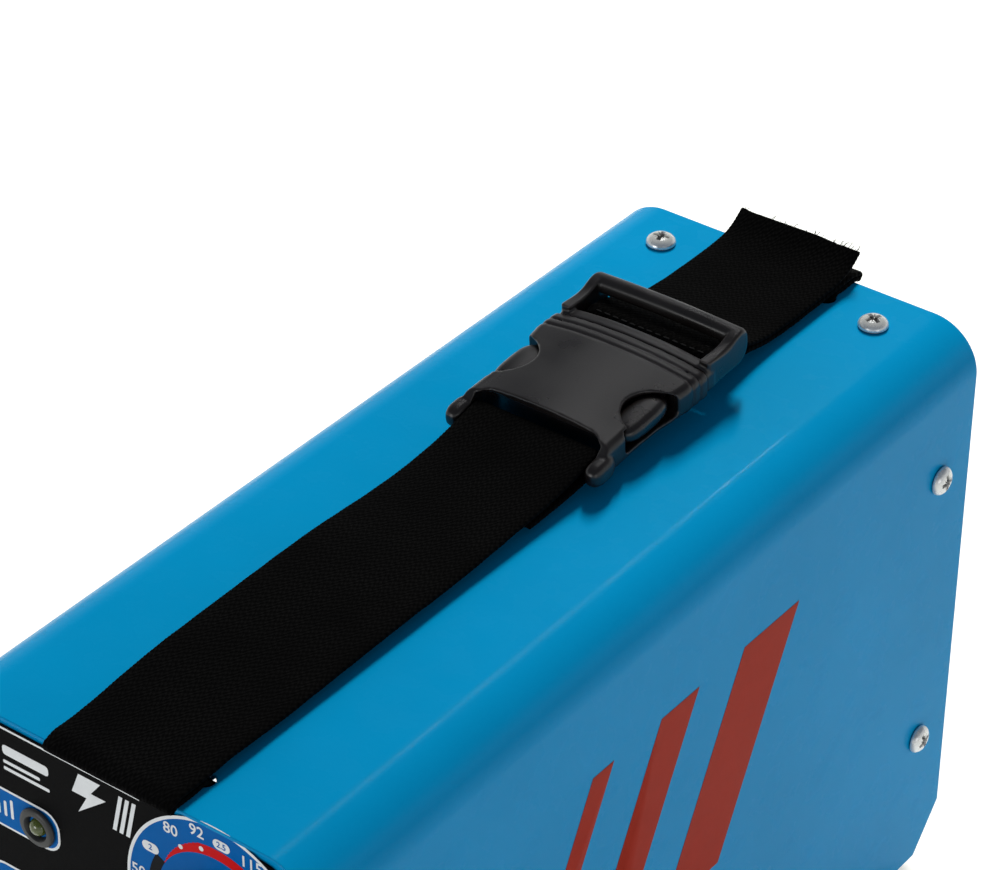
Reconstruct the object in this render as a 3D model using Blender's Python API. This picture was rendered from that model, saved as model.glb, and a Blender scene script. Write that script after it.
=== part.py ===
"""Stick welding inverter: steel case, carry strap with side-release buckle, sockets, knob and power stage.

Frame: metres, +Z up, front of the case towards -Y. The origin is on the floor, under the middle
of the whole object, so that the case, the knob and the cable gland fill equal halves of the depth.
A place inside the case is written (x, v, z): v is the distance behind the cover's front edge.
"""

import math

import bmesh
import bpy
from mathutils import Matrix, Vector

# ---------------------------------------------------------------- case
LENGTH = 0.290
WIDTH = 0.122
HEIGHT = 0.183
TOP_RADIUS = 0.015
COVER_SHEET = 0.0012
PANEL_SHEET = 0.0012
CHAMFER_RISE = 0.0145
CHAMFER_RUN = 0.012
GAP = 0.0003
PANEL_RECESS = 0.0008
FLANGE_DEPTH = 0.024
# ---------------------------------------------------------------- feet
FOOT_HEIGHT = 0.008
FOOT_RADIUS = 0.009
FOOT_INSET_X = 0.016
FOOT_INSET_V = 0.036
FOOT_STEM_RADIUS = 0.0024
# ---------------------------------------------------------------- case screws
SCREW_HEAD_RADIUS = 0.00435
SCREW_HEAD_HEIGHT = 0.0026
SCREW_RADIUS = 0.0019
SCREW_LENGTH = 0.009
SCREW_HOLE_RADIUS = 0.0023
SCREW_FROM_END = 0.0165
SCREW_TOP_X = 0.295 * WIDTH
SCREW_SIDE_UPPER = 0.226 * HEIGHT
SCREW_SIDE_LOWER = 0.734 * HEIGHT
# ---------------------------------------------------------------- side vents
VENT_COUNT = 7
VENT_LENGTH = 0.084
VENT_HEIGHT = 0.0042
VENT_PITCH = 0.052 * HEIGHT
VENT_FIRST_DROP = 0.541 * HEIGHT
VENT_MIDDLE_V = 0.068
TRAY_VENT_COUNT = 4
TRAY_VENT_PITCH = 0.016
TRAY_VENT = (0.050, 0.005)
# ---------------------------------------------------------------- front label and lamps
LABEL_TOP_DROP = 0.0028
LABEL_SIDE = 0.003
LABEL_THICKNESS = 0.0003
LAMP_X = -0.0265
LAMP_DROP = 0.0292
LAMP_PITCH = 0.0245
LAMP_BEZEL_RADIUS = 0.0047
LAMP_NECK_RADIUS = 0.0036
LAMP_LENS_RADIUS = 0.0025
LAMP_DEPTH = 0.008
# ---------------------------------------------------------------- current knob
DIAL_X = 0.031
DIAL_DROP = 0.0285
KNOB_RADIUS = 0.0125
KNOB_REACH = 0.017
KNOB_FOOT = 0.0022
KNOB_SKIRT = 0.0045
KNOB_TAPER = 0.0024
SHAFT_RADIUS = 0.003
SHAFT_REACH = 0.0115
BUSHING_RADIUS = 0.0047
POT_RADIUS = 0.0085
POT_DEPTH = 0.0085
# ---------------------------------------------------------------- output sockets
SOCKET_X = 0.030
SOCKET_RISE = 0.048
SOCKET_FLANGE_RADIUS = 0.0175
SOCKET_FLANGE_DEPTH = 0.0040
SOCKET_FLANGE_EDGE = 0.0006
SOCKET_NECK_RADIUS = 0.0137
SOCKET_COLLAR_RADIUS = 0.0142
SOCKET_MOUTH_RADIUS = 0.0100
SOCKET_REACH = 0.013
SOCKET_DEPTH = 0.010
SOCKET_FLOOR = 0.001
INSERT_RADIUS = 0.0072
INSERT_BORE_RADIUS = 0.0048
INSERT_BORE_END = -0.003
STUD_RADIUS = 0.005
STUD_REACH = 0.022
# ---------------------------------------------------------------- fan
FAN_SIZE = 0.437 * HEIGHT
FAN_DEPTH = 0.025
FAN_CORNER_RADIUS = 0.004
FAN_TOP_DROP = 0.027
FAN_RISE = HEIGHT - FAN_TOP_DROP - FAN_SIZE / 2
FAN_BORE_RADIUS = 0.4725 * FAN_SIZE
FAN_HOLE_PITCH = 0.894 * FAN_SIZE
FAN_HOLE_RADIUS = 0.0021
MOTOR_PLATE = 0.004
STRUT_COUNT = 3
STRUT_WIDTH = 0.004
ROTOR_HUB_RADIUS = 0.181 * FAN_SIZE
ROTOR_TIP_RADIUS = FAN_BORE_RADIUS - 0.0016
ROTOR_BLADES = 7
BLADE_PITCH_DEG = 35.0
BLADE_CHORD = 0.021
BLADE_THICKNESS = 0.0018
GUARD_THICKNESS = 0.0024
GUARD_RINGS = 5
GUARD_EYE_RADIUS = 0.0045
# ---------------------------------------------------------------- power switch
SWITCH_X = -0.030
SWITCH_RISE = 0.040
SWITCH_BEZEL = (0.031, 0.025)
SWITCH_BODY = (0.0275, 0.0215)
SWITCH_DEPTH = 0.022
SWITCH_RIM = 0.0028
SWITCH_WELL = 0.0095
PIVOT_OUT = 0.0008
PIVOT_RADIUS = 0.0011
PIVOT_REACH = 0.0014
ROCKER_HALF_HEIGHT = 0.0098
ROCKER_WIDTH = 0.0155
ROCKER_TILT_DEG = 10.0
# ---------------------------------------------------------------- cable gland
GLAND_X = 0.030
GLAND_RISE = 0.040
GLAND_REACH = 0.020
GLAND_NUT_RADIUS = 0.0125
GLAND_NECK_RADIUS = 0.0079
GLAND_BORE_RADIUS = 0.0050
GLAND_INSIDE = 0.008
GLAND_COLLAR = 0.0055
GLAND_SHOULDER = 0.0145
GLAND_NUT_DEPTH = 0.005
# ---------------------------------------------------------------- strap
STRAP_WIDTH = 0.040
STRAP_THICKNESS = 0.0014
SLOT_FROM_END = 0.012
SLOT_LENGTH = STRAP_WIDTH + 0.0045
SLOT_WIDTH = 0.0056
BAR_RADIUS = 0.0020
BAR_LENGTH = SLOT_LENGTH + 0.0055
BAR_DROP = 0.0075
# ---------------------------------------------------------------- buckle
BUCKLE_V = 0.548 * LENGTH
BUCKLE_LIFT = 0.0034
BUCKLE_TILT_DEG = 4.0
RECEIVER_LENGTH = 0.049
BUCKLE_LENGTH = RECEIVER_LENGTH + 0.021
RECEIVER_HEIGHT = 0.0100
RECEIVER_WALL = 0.0016
MOUTH_HALF = STRAP_WIDTH / 2 + 0.0007
WAIST_HALF = MOUTH_HALF + 0.0028
RECEIVER_HALF = WAIST_HALF + 0.0020
FRAME_HALF = RECEIVER_HALF - 0.0010
FRAME_HEIGHT = 0.0096
PIN_RADIUS = 0.0015
RECEIVER_PIN = (0.0060, 0.0030)
LADDER_PIN = (BUCKLE_LENGTH - 0.0108, 0.0032)
BUCKLE_PLAY = 0.0004
ARM_LEVELS = (0.0026, 0.0074)
TAIL_V = LENGTH + 0.0006
# ---------------------------------------------------------------- power stage
BOARD_HALF_WIDTH = WIDTH / 2 - 0.007
BOARD_FRONT_V = 0.036
BOARD_LENGTH = LENGTH - 0.090
BOARD_THICKNESS = 0.0016
PILLAR_HEIGHT = 0.010
PILLAR_RADIUS = 0.004
PILLAR_INSET_X = 0.006
PILLAR_INSET_V = 0.008
CONTROL_BOARD_DROP = 0.034
CONTROL_BOARD_LEFT = 0.012
CONTROL_BOARD_RIGHT = 0.016
SINK_FRONT_V = 0.056
SINK_LENGTH = 0.44 * BOARD_LENGTH
SINK_HEIGHT = 0.074
SINK_INNER_X = 0.021
SINK_BASE = 0.0045
SINK_FINS = 9
FIN_ROOT = 0.0022
FIN_TIP = 0.0018
MODULE_INSET = 0.002
MODULE_DEPTH = 0.0042
MODULE_RISE = 0.050
MODULE_HEIGHT = 0.018
CORE_LENGTH = 0.052
CORE_HEIGHT = 0.044
CORE_LEG = 0.008
CORE_HALF = 0.009
WINDING_HALF = SINK_INNER_X - 0.0055
WINDING_CORNER = 0.004
BEHIND_V = SINK_FRONT_V + SINK_LENGTH
BEHIND_ROOM = BOARD_FRONT_V + BOARD_LENGTH - BEHIND_V
CHOKE_RADIUS = 0.304 * BEHIND_ROOM
CHOKE_HOLE_RADIUS = 0.36 * CHOKE_RADIUS
CHOKE_HALF = 0.010
CHOKE_EDGE = 0.002
CAN_RADIUS = 0.163 * BEHIND_ROOM
CAN_HEIGHT = 0.045
CAN_INSET = 0.003
BRIDGE_HEIGHT = 0.010
RELAY_HEIGHT = 0.022
BUSBAR_STRIP = 0.0016
BUSBAR_WIDTH = 0.014
BUSBAR_V = 0.0175
BUSBAR_OVER = 0.009

# Places worked out from the sizes above.
FRONT_Y = KNOB_REACH - (KNOB_REACH + LENGTH + GLAND_REACH) / 2
BACK_Y = FRONT_Y + LENGTH
HALF = WIDTH / 2
BASE_Z = FOOT_HEIGHT
TOP_Z = BASE_Z + HEIGHT
INNER_HALF = HALF - COVER_SHEET - GAP
INNER_TOP = TOP_Z - COVER_SHEET - GAP
INNER_RADIUS = TOP_RADIUS - COVER_SHEET - GAP
PANEL_FOOT_Z = BASE_Z + CHAMFER_RISE + GAP
LABEL_V = PANEL_RECESS - GAP - LABEL_THICKNESS
BOARD_TOP_Z = BASE_Z + PANEL_SHEET + PILLAR_HEIGHT + GAP + BOARD_THICKNESS
DIAL_Z = TOP_Z - DIAL_DROP
SOCKET_Z = BASE_Z + SOCKET_RISE
FAN_Z = BASE_Z + FAN_RISE
CUT = 0.004  # how far a cutter runs past the face it cuts

FINISHES = {
    "blue_paint": ((0.005, 0.245, 0.560), 0.25, 0.0),
    "black_print": ((0.008, 0.008, 0.009), 0.40, 0.0),
    "zinc": ((0.62, 0.62, 0.60), 0.28, 1.0),
    "rubber": ((0.015, 0.015, 0.015), 0.85, 0.0),
    "black_plastic": ((0.018, 0.018, 0.019), 0.45, 0.0),
    "brass": ((0.75, 0.52, 0.20), 0.25, 1.0),
    "lamp_green": ((0.20, 0.24, 0.03), 0.10, 0.0),
    "lamp_amber": ((0.42, 0.24, 0.02), 0.10, 0.0),
    "steel": ((0.55, 0.55, 0.55), 0.35, 1.0),
    "chrome_wire": ((0.70, 0.70, 0.70), 0.15, 1.0),
    "webbing": ((0.010, 0.010, 0.011), 0.95, 0.0),
    "board_green": ((0.020, 0.150, 0.060), 0.50, 0.0),
    "aluminium": ((0.70, 0.71, 0.72), 0.40, 1.0),
    "ferrite": ((0.06, 0.06, 0.065), 0.70, 0.0),
    "copper": ((0.72, 0.34, 0.18), 0.30, 1.0),
    "can_sleeve": ((0.02, 0.03, 0.08), 0.35, 0.0),
    "red_plastic": ((0.45, 0.02, 0.02), 0.35, 0.0),
    "knob_plastic": ((0.020, 0.020, 0.022), 0.40, 0.0),
}


# ---------------------------------------------------------------- helpers
def place(x, v, z):
    """A point of the case, given by its distance behind the cover's front edge."""
    return Vector((x, FRONT_Y + v, z))


def material(name, finish):
    """A Principled material for one piece."""
    colour, roughness, metallic = FINISHES[finish]
    made = bpy.data.materials.new(name + "_finish")
    made.use_nodes = True
    shader = made.node_tree.nodes["Principled BSDF"]
    shader.inputs["Base Color"].default_value = (*colour, 1.0)
    shader.inputs["Roughness"].default_value = roughness
    shader.inputs["Metallic"].default_value = metallic
    made.diffuse_color = (*colour, 1.0)
    return made


def to_object(name, shape, smooth_deg=35.0):
    """Puts a finished bmesh into the scene as an object."""
    bmesh.ops.recalc_face_normals(shape, faces=shape.faces)
    mesh = bpy.data.meshes.new(name)
    shape.to_mesh(mesh)
    shape.free()
    mesh.shade_smooth()
    mesh.set_sharp_from_angle(angle=math.radians(smooth_deg))
    made = bpy.data.objects.new(name, mesh)
    bpy.context.scene.collection.objects.link(made)
    return made


def cut(*shapes):
    """Steps that cut shapes out of a piece."""
    return [("DIFFERENCE", shape) for shape in shapes]


def join(*shapes):
    """Steps that join shapes to a piece."""
    return [("UNION", shape) for shape in shapes]


def piece(name, shape, finish, steps=(), origin=None):
    """One sub-part: a shape, changed by Boolean steps in order. A moving piece's origin is on its axis."""
    made = to_object(name, shape)
    for index, (operation, tool_shape) in enumerate(steps):
        tool = to_object(f"{name}_tool_{index}", tool_shape)
        tool.hide_render = True
        tool.display_type = "WIRE"
        boolean = made.modifiers.new(f"step_{index}", "BOOLEAN")
        boolean.operation = operation
        boolean.solver = "EXACT"
        boolean.object = tool
    if origin is not None:
        made.data.transform(Matrix.Translation(-origin))
        made.location = origin
    made.data.materials.append(material(name, finish))
    return made


def prism(outline, axis, low, high):
    """A closed outline carried along an axis: (x, z) along Y, (y, z) along X or (x, y) along Z."""
    spots = {
        "X": lambda a, b, t: (t, a, b),
        "Y": lambda a, b, t: (a, t, b),
        "Z": lambda a, b, t: (a, b, t),
    }[axis]
    shape = bmesh.new()
    ends = [[shape.verts.new(spots(a, b, t)) for a, b in outline] for t in (low, high)]
    shape.faces.new(ends[0])
    shape.faces.new(ends[1])
    for k in range(len(outline)):
        n = (k + 1) % len(outline)
        shape.faces.new((ends[0][k], ends[0][n], ends[1][n], ends[1][k]))
    return shape


def block(low, high):
    """A box between two corners."""
    outline = [(low[0], low[1]), (high[0], low[1]), (high[0], high[1]), (low[0], high[1])]
    return prism(outline, "Z", low[2], high[2])


def turned(profile, centre, axis, segments=20, ring=False):
    """A profile of (radius, distance along the axis) turned about it. A ring profile closes on itself."""
    along = Vector(axis).normalized()
    side = Vector((0, 0, 1)) if abs(along.z) < 0.9 else Vector((1, 0, 0))
    across = along.cross(side).normalized()
    shape = bmesh.new()
    rings = []
    for radius, distance in profile:
        middle = Vector(centre) + along * distance
        if radius == 0:
            rings.append([shape.verts.new(middle)])
            continue
        turns = [2 * math.pi * (k + 0.5) / segments for k in range(segments)]
        spokes = [math.cos(t) * side + math.sin(t) * across for t in turns]
        rings.append([shape.verts.new(middle + radius * spoke) for spoke in spokes])
    for one, two in zip(rings, rings[1:] + rings[:1] if ring else rings[1:]):
        for k in range(segments):
            n = (k + 1) % segments
            corners = [one[k % len(one)], one[n % len(one)], two[n % len(two)], two[k % len(two)]]
            if len(one) + len(two) > 2:
                shape.faces.new(list(dict.fromkeys(corners)))
    return shape


def rod(centre, axis, radius, low, high, segments=16):
    """A plain cylinder along an axis."""
    return turned([(0, low), (radius, low), (radius, high), (0, high)], centre, axis, segments)


def arc(centre, radius, start_deg, end_deg, steps):
    """Points on an arc, ends included."""
    angles = [math.radians(start_deg + (end_deg - start_deg) * k / steps) for k in range(steps + 1)]
    return [(centre[0] + radius * math.cos(a), centre[1] + radius * math.sin(a)) for a in angles]


def arch(half, foot, top, radius, steps=6):
    """An outline with square lower corners and rounded upper ones, anticlockwise from the lower left."""
    right = arc((half - radius, top - radius), radius, 0, 90, steps)
    left = arc((radius - half, top - radius), radius, 90, 180, steps)
    return [(-half, foot), (half, foot)] + right + left


def obround(centre, length, width, steps=5):
    """A slot outline with round ends, its length along the first axis."""
    reach = (length - width) / 2
    right = arc((centre[0] + reach, centre[1]), width / 2, -90, 90, steps)
    left = arc((centre[0] - reach, centre[1]), width / 2, 90, 270, steps)
    return right + left


def rounded(centre, size, radius, steps=3):
    """A rectangle outline with round corners."""
    half_a, half_b = size[0] / 2 - radius, size[1] / 2 - radius
    corners = ((half_a, half_b, 0), (-half_a, half_b, 90), (-half_a, -half_b, 180), (half_a, -half_b, 270))
    outline = []
    for a, b, start in corners:
        outline += arc((centre[0] + a, centre[1] + b), radius, start, start + 90, steps)
    return outline


def smooth_route(points, steps):
    """A Catmull-Rom curve through points (v, z), with a number of steps between each two."""
    ends = [points[0]] + list(points) + [points[-1]]
    route = []
    for before, start, end, after in zip(ends, ends[1:], ends[2:], ends[3:]):
        for k in range(steps):
            t = k / steps
            route.append(tuple(
                b + (c - a) * t / 2
                + (2 * a - 5 * b + 4 * c - d) * t ** 2 / 2
                + (3 * b - a - 3 * c + d) * t ** 3 / 2
                for a, b, c, d in zip(before, start, end, after)
            ))
    return route + [points[-1]]


def band(route, half_width, thickness):
    """A flat band whose middle follows a route of (v, z) points."""
    shape = bmesh.new()
    loops = []
    for k, (v, z) in enumerate(route):
        back = Vector(route[max(k - 1, 0)])
        ahead = Vector(route[min(k + 1, len(route) - 1)])
        along = (ahead - back).normalized()
        off = Vector((-along.y, along.x)) * thickness / 2
        spots = [(-half_width, 1), (half_width, 1), (half_width, -1), (-half_width, -1)]
        loops.append([shape.verts.new(place(x, v + s * off.x, z + s * off.y)) for x, s in spots])
    for one, two in zip(loops, loops[1:]):
        for k in range(4):
            n = (k + 1) % 4
            shape.faces.new((one[k], one[n], two[n], two[k]))
    shape.faces.new(loops[0])
    shape.faces.new(loops[-1])
    return shape


# ---------------------------------------------------------------- case
def side_screw_spots():
    """Where the side screws go: name, v and z."""
    ends = (("front", SCREW_FROM_END), ("rear", LENGTH - SCREW_FROM_END))
    drops = (("upper", SCREW_SIDE_UPPER), ("lower", SCREW_SIDE_LOWER))
    return [(f"{end}_{level}", v, TOP_Z - drop) for end, v in ends for level, drop in drops]


def cover():
    """The painted steel wrap over the top and both sides."""
    outer = arch(HALF, BASE_Z, TOP_Z, TOP_RADIUS, 8)
    inner = arch(HALF - COVER_SHEET, BASE_Z, TOP_Z - COVER_SHEET, TOP_RADIUS - COVER_SHEET, 8)
    wrap = outer[1:] + outer[:1] + inner[:1] + inner[:0:-1]
    cuts = []
    for end, inward in ((FRONT_Y, 1), (BACK_Y, -1)):
        corner = [
            (end - inward * CUT, BASE_Z - CUT),
            (end + inward * (CHAMFER_RUN + CUT * CHAMFER_RUN / CHAMFER_RISE), BASE_Z - CUT),
            (end - inward * CUT, BASE_Z + CHAMFER_RISE + CUT * CHAMFER_RISE / CHAMFER_RUN),
        ]
        cuts.append(prism(corner, "X", -HALF - CUT, HALF + CUT))
    for v in (SLOT_FROM_END, LENGTH - SLOT_FROM_END):
        slot = obround((0, FRONT_Y + v), SLOT_LENGTH, SLOT_WIDTH)
        cuts.append(prism(slot, "Z", TOP_Z - COVER_SHEET - CUT, TOP_Z + CUT))
    for x in (-SCREW_TOP_X, SCREW_TOP_X):
        centre = place(x, LENGTH - SCREW_FROM_END, TOP_Z)
        cuts.append(rod(centre, (0, 0, 1), SCREW_HOLE_RADIUS, -CUT, CUT, 12))
    for _, v, z in side_screw_spots():
        cuts.append(rod(place(0, v, z), (1, 0, 0), SCREW_HOLE_RADIUS, -HALF - CUT, HALF + CUT, 12))
    for k in range(VENT_COUNT):
        middle = (FRONT_Y + VENT_MIDDLE_V, TOP_Z - VENT_FIRST_DROP - k * VENT_PITCH)
        vent = obround(middle, VENT_LENGTH, VENT_HEIGHT, 4)
        cuts.append(prism(vent, "X", -HALF - CUT, HALF + CUT))
    piece("cover", prism(wrap, "Y", FRONT_Y, BACK_Y), "blue_paint", cut(*cuts))


def tray_outline(inset, top):
    """The tray's side view, (y, z), set in by a distance."""
    slant = math.hypot(CHAMFER_RISE, CHAMFER_RUN)
    shift = inset * (slant - CHAMFER_RUN) / CHAMFER_RISE
    lean = CHAMFER_RUN / CHAMFER_RISE
    foot = CHAMFER_RUN + shift
    head = inset * slant / CHAMFER_RISE + lean * (BASE_Z + CHAMFER_RISE - top)
    return [
        (FRONT_Y + foot, BASE_Z + inset),
        (BACK_Y - foot, BASE_Z + inset),
        (BACK_Y - head, top),
        (FRONT_Y + head, top),
    ]


def foot_spots():
    """Where the feet go: name, x and v."""
    ends = (("front", FOOT_INSET_V), ("rear", LENGTH - FOOT_INSET_V))
    sides = (("left", FOOT_INSET_X - HALF), ("right", HALF - FOOT_INSET_X))
    return [(f"{end}_{side}", x, v) for end, v in ends for side, x in sides]


def base_tray():
    """The folded steel tray that everything inside stands on, with its four board pillars."""
    rim = BASE_Z + CHAMFER_RISE
    shell = prism(tray_outline(0, rim), "X", -INNER_HALF, INNER_HALF)
    inner = INNER_HALF - PANEL_SHEET
    hollow = prism(tray_outline(PANEL_SHEET, rim + CUT), "X", -inner, inner)
    stem_hole = FOOT_STEM_RADIUS + 2 * GAP
    cuts = [rod(place(x, v, BASE_Z), (0, 0, 1), stem_hole, -CUT, CUT, 12) for _, x, v in foot_spots()]
    for k in range(TRAY_VENT_COUNT):
        off = (k - (TRAY_VENT_COUNT - 1) / 2) * TRAY_VENT_PITCH
        slot = obround((0, FRONT_Y + LENGTH / 2 + off), *TRAY_VENT, 3)
        cuts.append(prism(slot, "Z", BASE_Z - CUT, BASE_Z + PANEL_SHEET + CUT))
    pillars = []
    for x in (-1, 1):
        for v in (BOARD_FRONT_V + PILLAR_INSET_V, BOARD_FRONT_V + BOARD_LENGTH - PILLAR_INSET_V):
            centre = place(x * (BOARD_HALF_WIDTH - PILLAR_INSET_X), v, BASE_Z + PANEL_SHEET / 2)
            pillars.append(rod(centre, (0, 0, 1), PILLAR_RADIUS, 0, PILLAR_HEIGHT + PANEL_SHEET / 2, 10))
    piece("base_tray", shell, "steel", cut(hollow) + join(*pillars) + cut(*cuts))


def panel_shell(v_face, inward):
    """A panel with flanges that follow the inside of the cover, open towards the middle of the case."""
    outline = arch(INNER_HALF, PANEL_FOOT_Z, INNER_TOP, INNER_RADIUS)
    ends = sorted((FRONT_Y + v_face, FRONT_Y + v_face + inward * FLANGE_DEPTH))
    shell = prism(outline, "Y", *ends)
    half, top, radius = (size - PANEL_SHEET for size in (INNER_HALF, INNER_TOP, INNER_RADIUS))
    hollow = arch(half, PANEL_FOOT_Z - CUT, top, radius)
    start = FRONT_Y + v_face + inward * PANEL_SHEET
    ends = sorted((start, start + inward * (FLANGE_DEPTH + CUT)))
    return shell, prism(hollow, "Y", *ends)


def panel_screw_cuts(front):
    """Clearance holes for the side screws in one panel's flanges."""
    spots = [(v, z) for name, v, z in side_screw_spots() if name.startswith("front") == front]
    return [rod(place(0, v, z), (1, 0, 0), SCREW_HOLE_RADIUS, -HALF, HALF, 12) for v, z in spots]


def lamp_spots():
    """The two lamps: name, height and finish."""
    top = TOP_Z - LAMP_DROP
    return [("power", top, "lamp_green"), ("overheat", top - LAMP_PITCH, "lamp_amber")]


def front_holes(clearance):
    """Cutters through the front panel and its label for the lamps, the knob's bushing and the sockets."""
    low, high = -PANEL_RECESS - CUT, PANEL_SHEET + CUT
    spots = [(LAMP_X, z, LAMP_NECK_RADIUS) for _, z, _ in lamp_spots()]
    spots.append((DIAL_X, DIAL_Z, BUSHING_RADIUS))
    spots += [(x, SOCKET_Z, SOCKET_NECK_RADIUS) for x in (-SOCKET_X, SOCKET_X)]
    return [rod(place(x, 0, z), (0, 1, 0), r + clearance, low, high, 20) for x, z, r in spots]


def front_panel():
    """The front panel, with side flanges only: the strap's slot is where a top flange would be."""
    shell, hollow = panel_shell(PANEL_RECESS, 1)
    top_flange = block(
        (-HALF, FRONT_Y + PANEL_RECESS + PANEL_SHEET, TOP_Z - TOP_RADIUS - 0.012),
        (HALF, FRONT_Y + FLANGE_DEPTH + CUT, TOP_Z),
    )
    cuts = [top_flange, *panel_screw_cuts(True), *front_holes(GAP)]
    piece("front_panel", shell, "blue_paint", cut(hollow, *cuts))


def front_label():
    """The printed film on the front panel."""
    half, top = INNER_HALF - LABEL_SIDE, TOP_Z - LABEL_TOP_DROP
    outline = arch(half, PANEL_FOOT_Z + LABEL_SIDE, top, INNER_RADIUS - LABEL_SIDE / 2)
    sheet = prism(outline, "Y", FRONT_Y + LABEL_V, FRONT_Y + LABEL_V + LABEL_THICKNESS)
    piece("front_label", sheet, "black_print", cut(*front_holes(2 * GAP)))


def rear_panel():
    """The rear panel: fan opening, switch opening, gland hole, and two top tabs beside the strap's slot."""
    face = LENGTH - PANEL_RECESS
    shell, hollow = panel_shell(face, -1)
    inner_y = FRONT_Y + face - PANEL_SHEET
    low_y = FRONT_Y + face - FLANGE_DEPTH - CUT
    tab_low, tab_high = BAR_LENGTH / 2 + 0.002, SCREW_TOP_X + 0.009
    flange_z = TOP_Z - TOP_RADIUS - 0.012
    cuts = [block((-tab_low, low_y, flange_z), (tab_low, inner_y, TOP_Z))]
    for side in (-1, 1):
        xs = sorted((side * tab_high, side * HALF))
        cuts.append(block((xs[0], low_y, flange_z), (xs[1], inner_y, TOP_Z)))
        centre = place(side * SCREW_TOP_X, LENGTH - SCREW_FROM_END, INNER_TOP)
        cuts.append(rod(centre, (0, 0, 1), SCREW_HOLE_RADIUS, -CUT, CUT, 12))
        for level in (-1, 1):
            spot = place(side * FAN_HOLE_PITCH / 2, face, FAN_Z + level * FAN_HOLE_PITCH / 2)
            cuts.append(rod(spot, (0, 1, 0), SCREW_HOLE_RADIUS, -PANEL_SHEET - CUT, CUT, 10))
    cuts.append(rod(place(0, face, FAN_Z), (0, 1, 0), FAN_BORE_RADIUS, -PANEL_SHEET - CUT, CUT, 32))
    gland_spot = place(GLAND_X, face, BASE_Z + GLAND_RISE)
    cuts.append(rod(gland_spot, (0, 1, 0), GLAND_NECK_RADIUS + GAP, -PANEL_SHEET - CUT, CUT, 20))
    size = (SWITCH_BODY[1] + 2 * GAP, SWITCH_BODY[0] + 2 * GAP)
    opening = rounded((SWITCH_X, BASE_Z + SWITCH_RISE), size, 0.001, 1)
    cuts.append(prism(opening, "Y", inner_y - CUT, FRONT_Y + face + CUT))
    cuts += panel_screw_cuts(False)
    piece("rear_panel", shell, "blue_paint", cut(hollow, *cuts))


def feet():
    """Push-in rubber feet with a stem and a barb inside the tray."""
    rise = FOOT_HEIGHT - GAP
    inside = FOOT_HEIGHT + PANEL_SHEET + GAP
    profile = [
        (0, 0),
        (FOOT_RADIUS - 0.0015, 0),
        (FOOT_RADIUS, 0.0015),
        (FOOT_RADIUS, rise),
        (FOOT_STEM_RADIUS, rise),
        (FOOT_STEM_RADIUS, inside),
        (FOOT_STEM_RADIUS + 0.0016, inside),
        (FOOT_STEM_RADIUS - 0.0004, inside + 0.0035),
        (0, inside + 0.0035),
    ]
    for name, x, v in foot_spots():
        piece(f"foot_{name}", turned(profile, place(x, v, 0), (0, 0, 1), 16), "rubber")


def case_screws():
    """Pan-head screws: two on top at the rear, four on each side."""
    head, reach = SCREW_HEAD_RADIUS, SCREW_HEAD_HEIGHT
    profile = [
        (0, -SCREW_LENGTH),
        (SCREW_RADIUS, 0.0006 - SCREW_LENGTH),
        (SCREW_RADIUS, GAP),
        (head * 0.97, GAP),
        (head, GAP + reach * 0.3),
        (head * 0.8, GAP + reach * 0.78),
        (head * 0.35, GAP + reach),
        (0, GAP + reach),
    ]
    for label, x in (("left", -SCREW_TOP_X), ("right", SCREW_TOP_X)):
        centre = place(x, LENGTH - SCREW_FROM_END, TOP_Z)
        piece(f"screw_top_{label}", turned(profile, centre, (0, 0, 1), 12), "zinc")
    for label, side in (("left", -1), ("right", 1)):
        for name, v, z in side_screw_spots():
            screw = turned(profile, place(side * HALF, v, z), (side, 0, 0), 12)
            piece(f"screw_{label}_{name}", screw, "zinc")


# ---------------------------------------------------------------- front fittings
def output_sockets():
    """Two quick-connect welding sockets: a moulded body with a brass insert."""
    outward = (0, -1, 0)
    body = [
        (SOCKET_MOUTH_RADIUS, SOCKET_REACH),
        (SOCKET_MOUTH_RADIUS, SOCKET_FLOOR),
        (STUD_RADIUS + GAP, SOCKET_FLOOR),
        (STUD_RADIUS + GAP, -SOCKET_DEPTH),
        (SOCKET_NECK_RADIUS, -SOCKET_DEPTH),
        (SOCKET_NECK_RADIUS, GAP),
        (SOCKET_FLANGE_RADIUS, GAP),
        (SOCKET_FLANGE_RADIUS, SOCKET_FLANGE_DEPTH - SOCKET_FLANGE_EDGE),
        (SOCKET_FLANGE_RADIUS - SOCKET_FLANGE_EDGE, SOCKET_FLANGE_DEPTH),
        (SOCKET_COLLAR_RADIUS, SOCKET_FLANGE_DEPTH),
        (SOCKET_COLLAR_RADIUS, SOCKET_REACH),
    ]
    insert = [
        (INSERT_BORE_RADIUS, SOCKET_REACH - SOCKET_FLOOR),
        (INSERT_RADIUS, SOCKET_REACH - SOCKET_FLOOR),
        (INSERT_RADIUS, SOCKET_FLOOR + GAP),
        (STUD_RADIUS, SOCKET_FLOOR + GAP),
        (STUD_RADIUS, -STUD_REACH),
        (0, -STUD_REACH),
        (0, INSERT_BORE_END),
        (INSERT_BORE_RADIUS, INSERT_BORE_END),
    ]
    for name, side in (("negative", -1), ("positive", 1)):
        centre = place(side * SOCKET_X, LABEL_V, SOCKET_Z)
        piece(f"{name}_socket_body", turned(body, centre, outward, 20, True), "black_plastic")
        piece(f"{name}_socket_insert", turned(insert, centre, outward, 16, True), "brass")


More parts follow.
